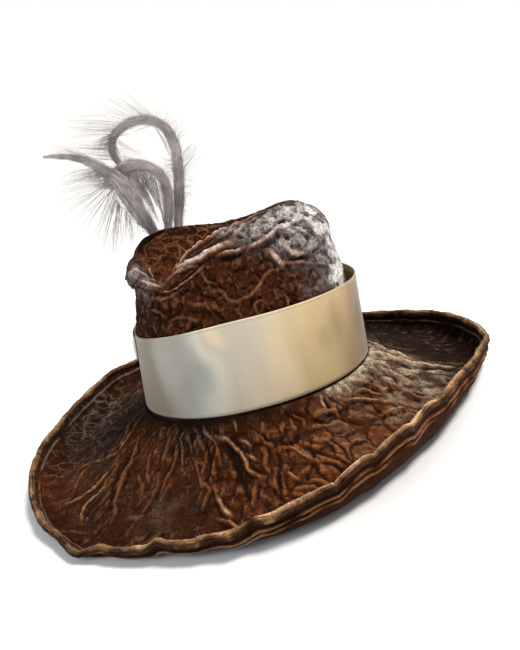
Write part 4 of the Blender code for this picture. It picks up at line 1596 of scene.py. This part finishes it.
# Fans of long fine hairs: two roots and two tips picked in the photograph, depth and count
hairFans = (
    ("155,118 127,121 120,90 89,110", 81, 16),
    ("164,122 143,118 150,103 113,100", 81, 16),
    ("127,122 113,130 63,118 62,128", 80, 16),
    ("118,128 111,136 65,129 63,138", 80, 10),
    ("115,132 111,147 91,142 97,150", 79, 60),
    ("113,144 119,160 62,145 86,157", 78, 22),
    ("112,150 116,161 73,141 95,159", 77, 14),
    ("162,124 177,143 169,110 189,130", 81, 26),
    ("180,154 183,177 194,139 204,149", 80, 24),
    ("182,177 181,222 201,173 189,216", 79, 40),
    ("149,126 120,136 139,130 127,136", 79, 12),
    ("155,127 172,154 166,144 171,163", 79, 20),
    ("118,138 120,159 143,154 139,163", 77, 16),
    ("172,159 173,180 159,159 167,177", 79, 24),
    ("157,166 166,177 170,169 172,180", 75, 16),
    ("120,176 131,168 136,190 143,191", 75, 50),
    ("117,175 138,166 133,198 147,204", 73, 70),
    ("135,170 155,173 164,212 165,225", 74, 56),
    ("131,177 141,173 150,207 162,228", 72, 60),
    ("143,173 162,189 162,212 165,222", 73, 26),
    ("72,154 57,157 51,146 48,155", 62, 12),
    ("104,163 86,157 63,146 51,145", 64, 16),
    ("100,166 113,189 78,177 95,189", 65, 90),
    ("97,166 104,177 57,175 57,193", 65, 24),
    ("104,180 113,191 54,200 77,237", 66, 30),
    ("111,189 120,209 91,244 113,265", 67, 28),
    ("116,203 132,221 111,267 141,251", 68, 22),
    ("125,215 148,228 132,248 148,242", 69, 16),
)


def featherPlaces(rows):
    places = stacked(rows["x"], rows["y"], rows["height"] + bandLevel)
    return places, lengthsAlong(places)


def featherPath(rows, steps):
    places, along = featherPlaces(rows)
    at = np.linspace(0, along[-1], steps)
    path = stacked(*[smoothValues(along, values, at) for values in places.T])
    widths = np.maximum(smoothValues(along, rows["halfWidth"], at), plumeLook["thinnest"])
    lane = unit(np.gradient(path, axis=0))
    side = unit(np.cross(lane, (0.0, 1.0, 0.0)))
    return path, widths, side, np.cross(side, lane)


def featherCore(rows, steps, look):
    path, widths, side, depth = featherPath(rows, steps)
    turns = 2 * math.pi * np.arange(look["sides"]) / look["sides"]
    size, wave, waves, twist = look["fluting"]
    flute = size * (1 + wave * np.cos(waves * turns + twist * np.linspace(0, 1, steps)[:, None]))
    reach = widths[:, None] * flute
    points = path[:, None] + (reach * np.cos(turns))[..., None] * side[:, None]
    points += (reach * look["flatness"] * np.sin(turns))[..., None] * depth[:, None]
    ends = np.arange(steps * look["sides"]).reshape(steps, -1)[[0, -1]]
    return points.reshape(-1, 3), gridFaces(steps, look["sides"]) + ends.tolist()


def strandMesh(paths, radii):
    count, steps = paths.shape[:2]
    lane = unit(paths[:, -1] - paths[:, 0])
    side = unit(np.cross(lane, (0.3, 1.0, 0.2)))
    across, deep = circle(evenAngles(3))
    around = across[:, None] * side[:, None] + deep[:, None] * np.cross(lane, side)[:, None]
    points = paths[:, :, None] + radii[..., None, None] * around[:, None]
    index = np.arange(count * steps * 3).reshape(count, steps, 3)
    here, ahead = index[:, :-1], index[:, 1:]
    quads = np.stack((here, np.roll(here, -1, 2), np.roll(ahead, -1, 2), ahead), -1).reshape(-1, 4)
    return points.reshape(-1, 3), quads.tolist() + index[:, 0].tolist() + index[:, -1].tolist()


def featherBarbs(rows, count, look):
    path, widths, side, depth = featherPath(rows, look["barbPlaces"])
    start = chance.uniform(0.02, 0.97, count)
    turn = chance.uniform(0, 2 * math.pi, count)
    reach = chance.uniform(9, 19, count) / featherPlaces(rows)[1][-1]
    flare = chance.uniform(0.15, 0.75, count) ** 1.5
    paths, radii = [], []
    for share in np.linspace(0, 1, look["barbSteps"]):
        at = np.clip(start + share * reach, 0, 0.999) * (len(path) - 1)
        near = at.astype(int)
        wide = widths[near] * (0.74 + 1.25 * flare * share**1.6)
        place = path[near] + (at - near)[:, None] * (path[near + 1] - path[near])
        place += (wide * np.cos(turn))[:, None] * side[near]
        paths.append(place + (wide * look["flatness"] * 1.1 * np.sin(turn))[:, None] * depth[near])
        radii.append(np.full(count, look["barbRadius"] * (1 - 0.8 * share)))
    return strandMesh(np.stack(paths, 1), np.stack(radii, 1))


def longHairs(look):
    paths, radii = [], []
    steps = np.linspace(0, 1, look["hairSteps"])
    for picked, depth, count in hairFans:
        count = round(look["hairShare"] * count)
        share = np.clip(np.linspace(0, 1, count) + chance.normal(0, 0.05, count), 0, 1)
        tipShare = np.clip(share + chance.normal(0, 0.16, count), -0.08, 1.08)
        firstRoot, lastRoot, firstTip, lastTip = pointsAtDepth(picked, depth)
        root = firstRoot + share[:, None] * (lastRoot - firstRoot)
        tip = firstTip + tipShare[:, None] * (lastTip - firstTip)
        root[:, 1] += chance.normal(0, 1.2, count)
        tip[:, 1] += chance.normal(0, 7.0, count)
        root -= look["rootSink"] * unit(tip - root)
        tip = root + (tip - root) * chance.uniform(0.6, 1.04, count)[:, None]
        bend = chance.normal(0, 0.03, count) * np.linalg.norm(tip - root, axis=1)
        sag = np.cross(unit(tip - root), (0, 1, 0)) * bend[:, None]
        for start, end, side in zip(root, tip, sag):
            paths.append(start + steps[:, None] * (end - start) + np.sin(math.pi * steps)[:, None] * side)
            radii.append(chance.uniform(*look["hairRadius"]) * (1 - 0.65 * steps))
    return strandMesh(np.array(paths), np.array(radii))


def makeFeatherMaterial(look):
    made, tree, shader = newMaterial("featherBarbs", look["shader"])
    place = objectPlace(tree)
    cloud, streak = noiseFactor(place, 60.0, 3.0), noiseFactor(place, 700.0, 2.0)
    tone = mixColours(ranged(cloud, 0.3, 0.7), look["deep"], look["light"])
    addTone(shader, mixColours(ranged(streak, 0.35, 0.7, 0.0, 0.4), tone, look["light"]))
    addRelief(shader, streak, 0.0003, 0.5)
    return made


def makePlume(look, surface):
    points, faces = [], []
    for steps, barbs, rows in feathers.values():
        parts = [featherCore(rows, steps, look)]
        if barbs:
            parts.append(featherBarbs(rows, barbs, look))
        for partPoints, partFaces in parts:
            first = sum(map(len, points))
            faces += [[corner + first for corner in face] for face in partFaces]
            points.append(partPoints)
    return makeMesh("feathers", points, faces, surface)


featherSurface = makeFeatherMaterial(plumeLook)
settle(makePlume(plumeLook, featherSurface), "feather", "plume")
hairPoints, hairFaces = longHairs(plumeLook)
settle(makeMesh("feather_hairs", [hairPoints], hairFaces, featherSurface), "feather")


# Floor and lights
stageLook = {
    "floor": colour(0.86, 0.86, 0.86),
    "floorShade": colour(0.8, 0.8, 0.8),
    "floorSize": 60.0,
    "floorDrop": 0.0003,
    "seen": colour(1.0, 1.0, 1.0),
    "sky": (colour(0.93, 0.96, 1.0), 0.42),
    "aim": (0.0, 0.0, 0.08),
    "sun": ((0.42, -0.06, 0.90), 3.0, 16.0, (1.0, 0.96, 0.90)),
    "lights": (
        ("side", (-0.95, -0.55, 0.75), 0.7, 5.0, (0.90, 0.95, 1.0)),
        ("behind", (0.75, 0.65, 0.6), 0.5, 6.0, (1.0, 1.0, 1.0)),
    ),
}


def addLight(name, light, place, aim):
    made = bpy.data.objects.new(name, light)
    made.location = place
    made.rotation_euler = (Vector(aim) - Vector(place)).to_track_quat("-Z", "Y").to_euler()
    bpy.context.scene.collection.objects.link(made)


def makeWorld(look):
    world = bpy.data.worlds.new("studio")
    world.use_nodes = True
    tree = world.node_tree
    lighting = tree.nodes["Background"]
    lighting.inputs["Color"].default_value, lighting.inputs["Strength"].default_value = look["sky"]
    seen = addNode(tree, "ShaderNodeBackground", {"Color": look["seen"], "Strength": 1.0})
    camera = addNode(tree, "ShaderNodeLightPath").outputs["Is Camera Ray"]
    mixed = addNode(tree, "ShaderNodeMixShader", {0: camera, 1: lighting.outputs[0], 2: seen.outputs[0]})
    tree.links.new(mixed.outputs[0], tree.nodes["World Output"].inputs["Surface"])
    bpy.context.scene.world = world


def makeStage(look):
    bpy.ops.mesh.primitive_plane_add(size=look["floorSize"], location=(0, 0, -look["floorDrop"]))
    floor = bpy.context.object
    floor.name = "floor"
    made, tree, shader = newMaterial("paleFloor", {"Roughness": 0.9})
    cloud = ranged(noiseFactor(objectPlace(tree), 3.0, 2.0), 0.3, 0.7, 0.0, 0.05)
    addTone(shader, mixColours(cloud, look["floor"], look["floorShade"]))
    floor.data.materials.append(made)
    place, strength, angle, tint = look["sun"]
    sun = bpy.data.lights.new("sun", "SUN")
    sun.energy, sun.angle, sun.color = strength, math.radians(angle), tint
    addLight("sun", sun, place, look["aim"])
    for name, place, size, power, tint in look["lights"]:
        light = bpy.data.lights.new(name, "AREA")
        light.shape = "DISK"
        light.size, light.energy, light.color = size, power, tint
        addLight(name, light, place, look["aim"])
    bpy.context.scene.view_settings.view_transform = "Standard"


makeWorld(stageLook)
makeStage(stageLook)
print("stage: lit")
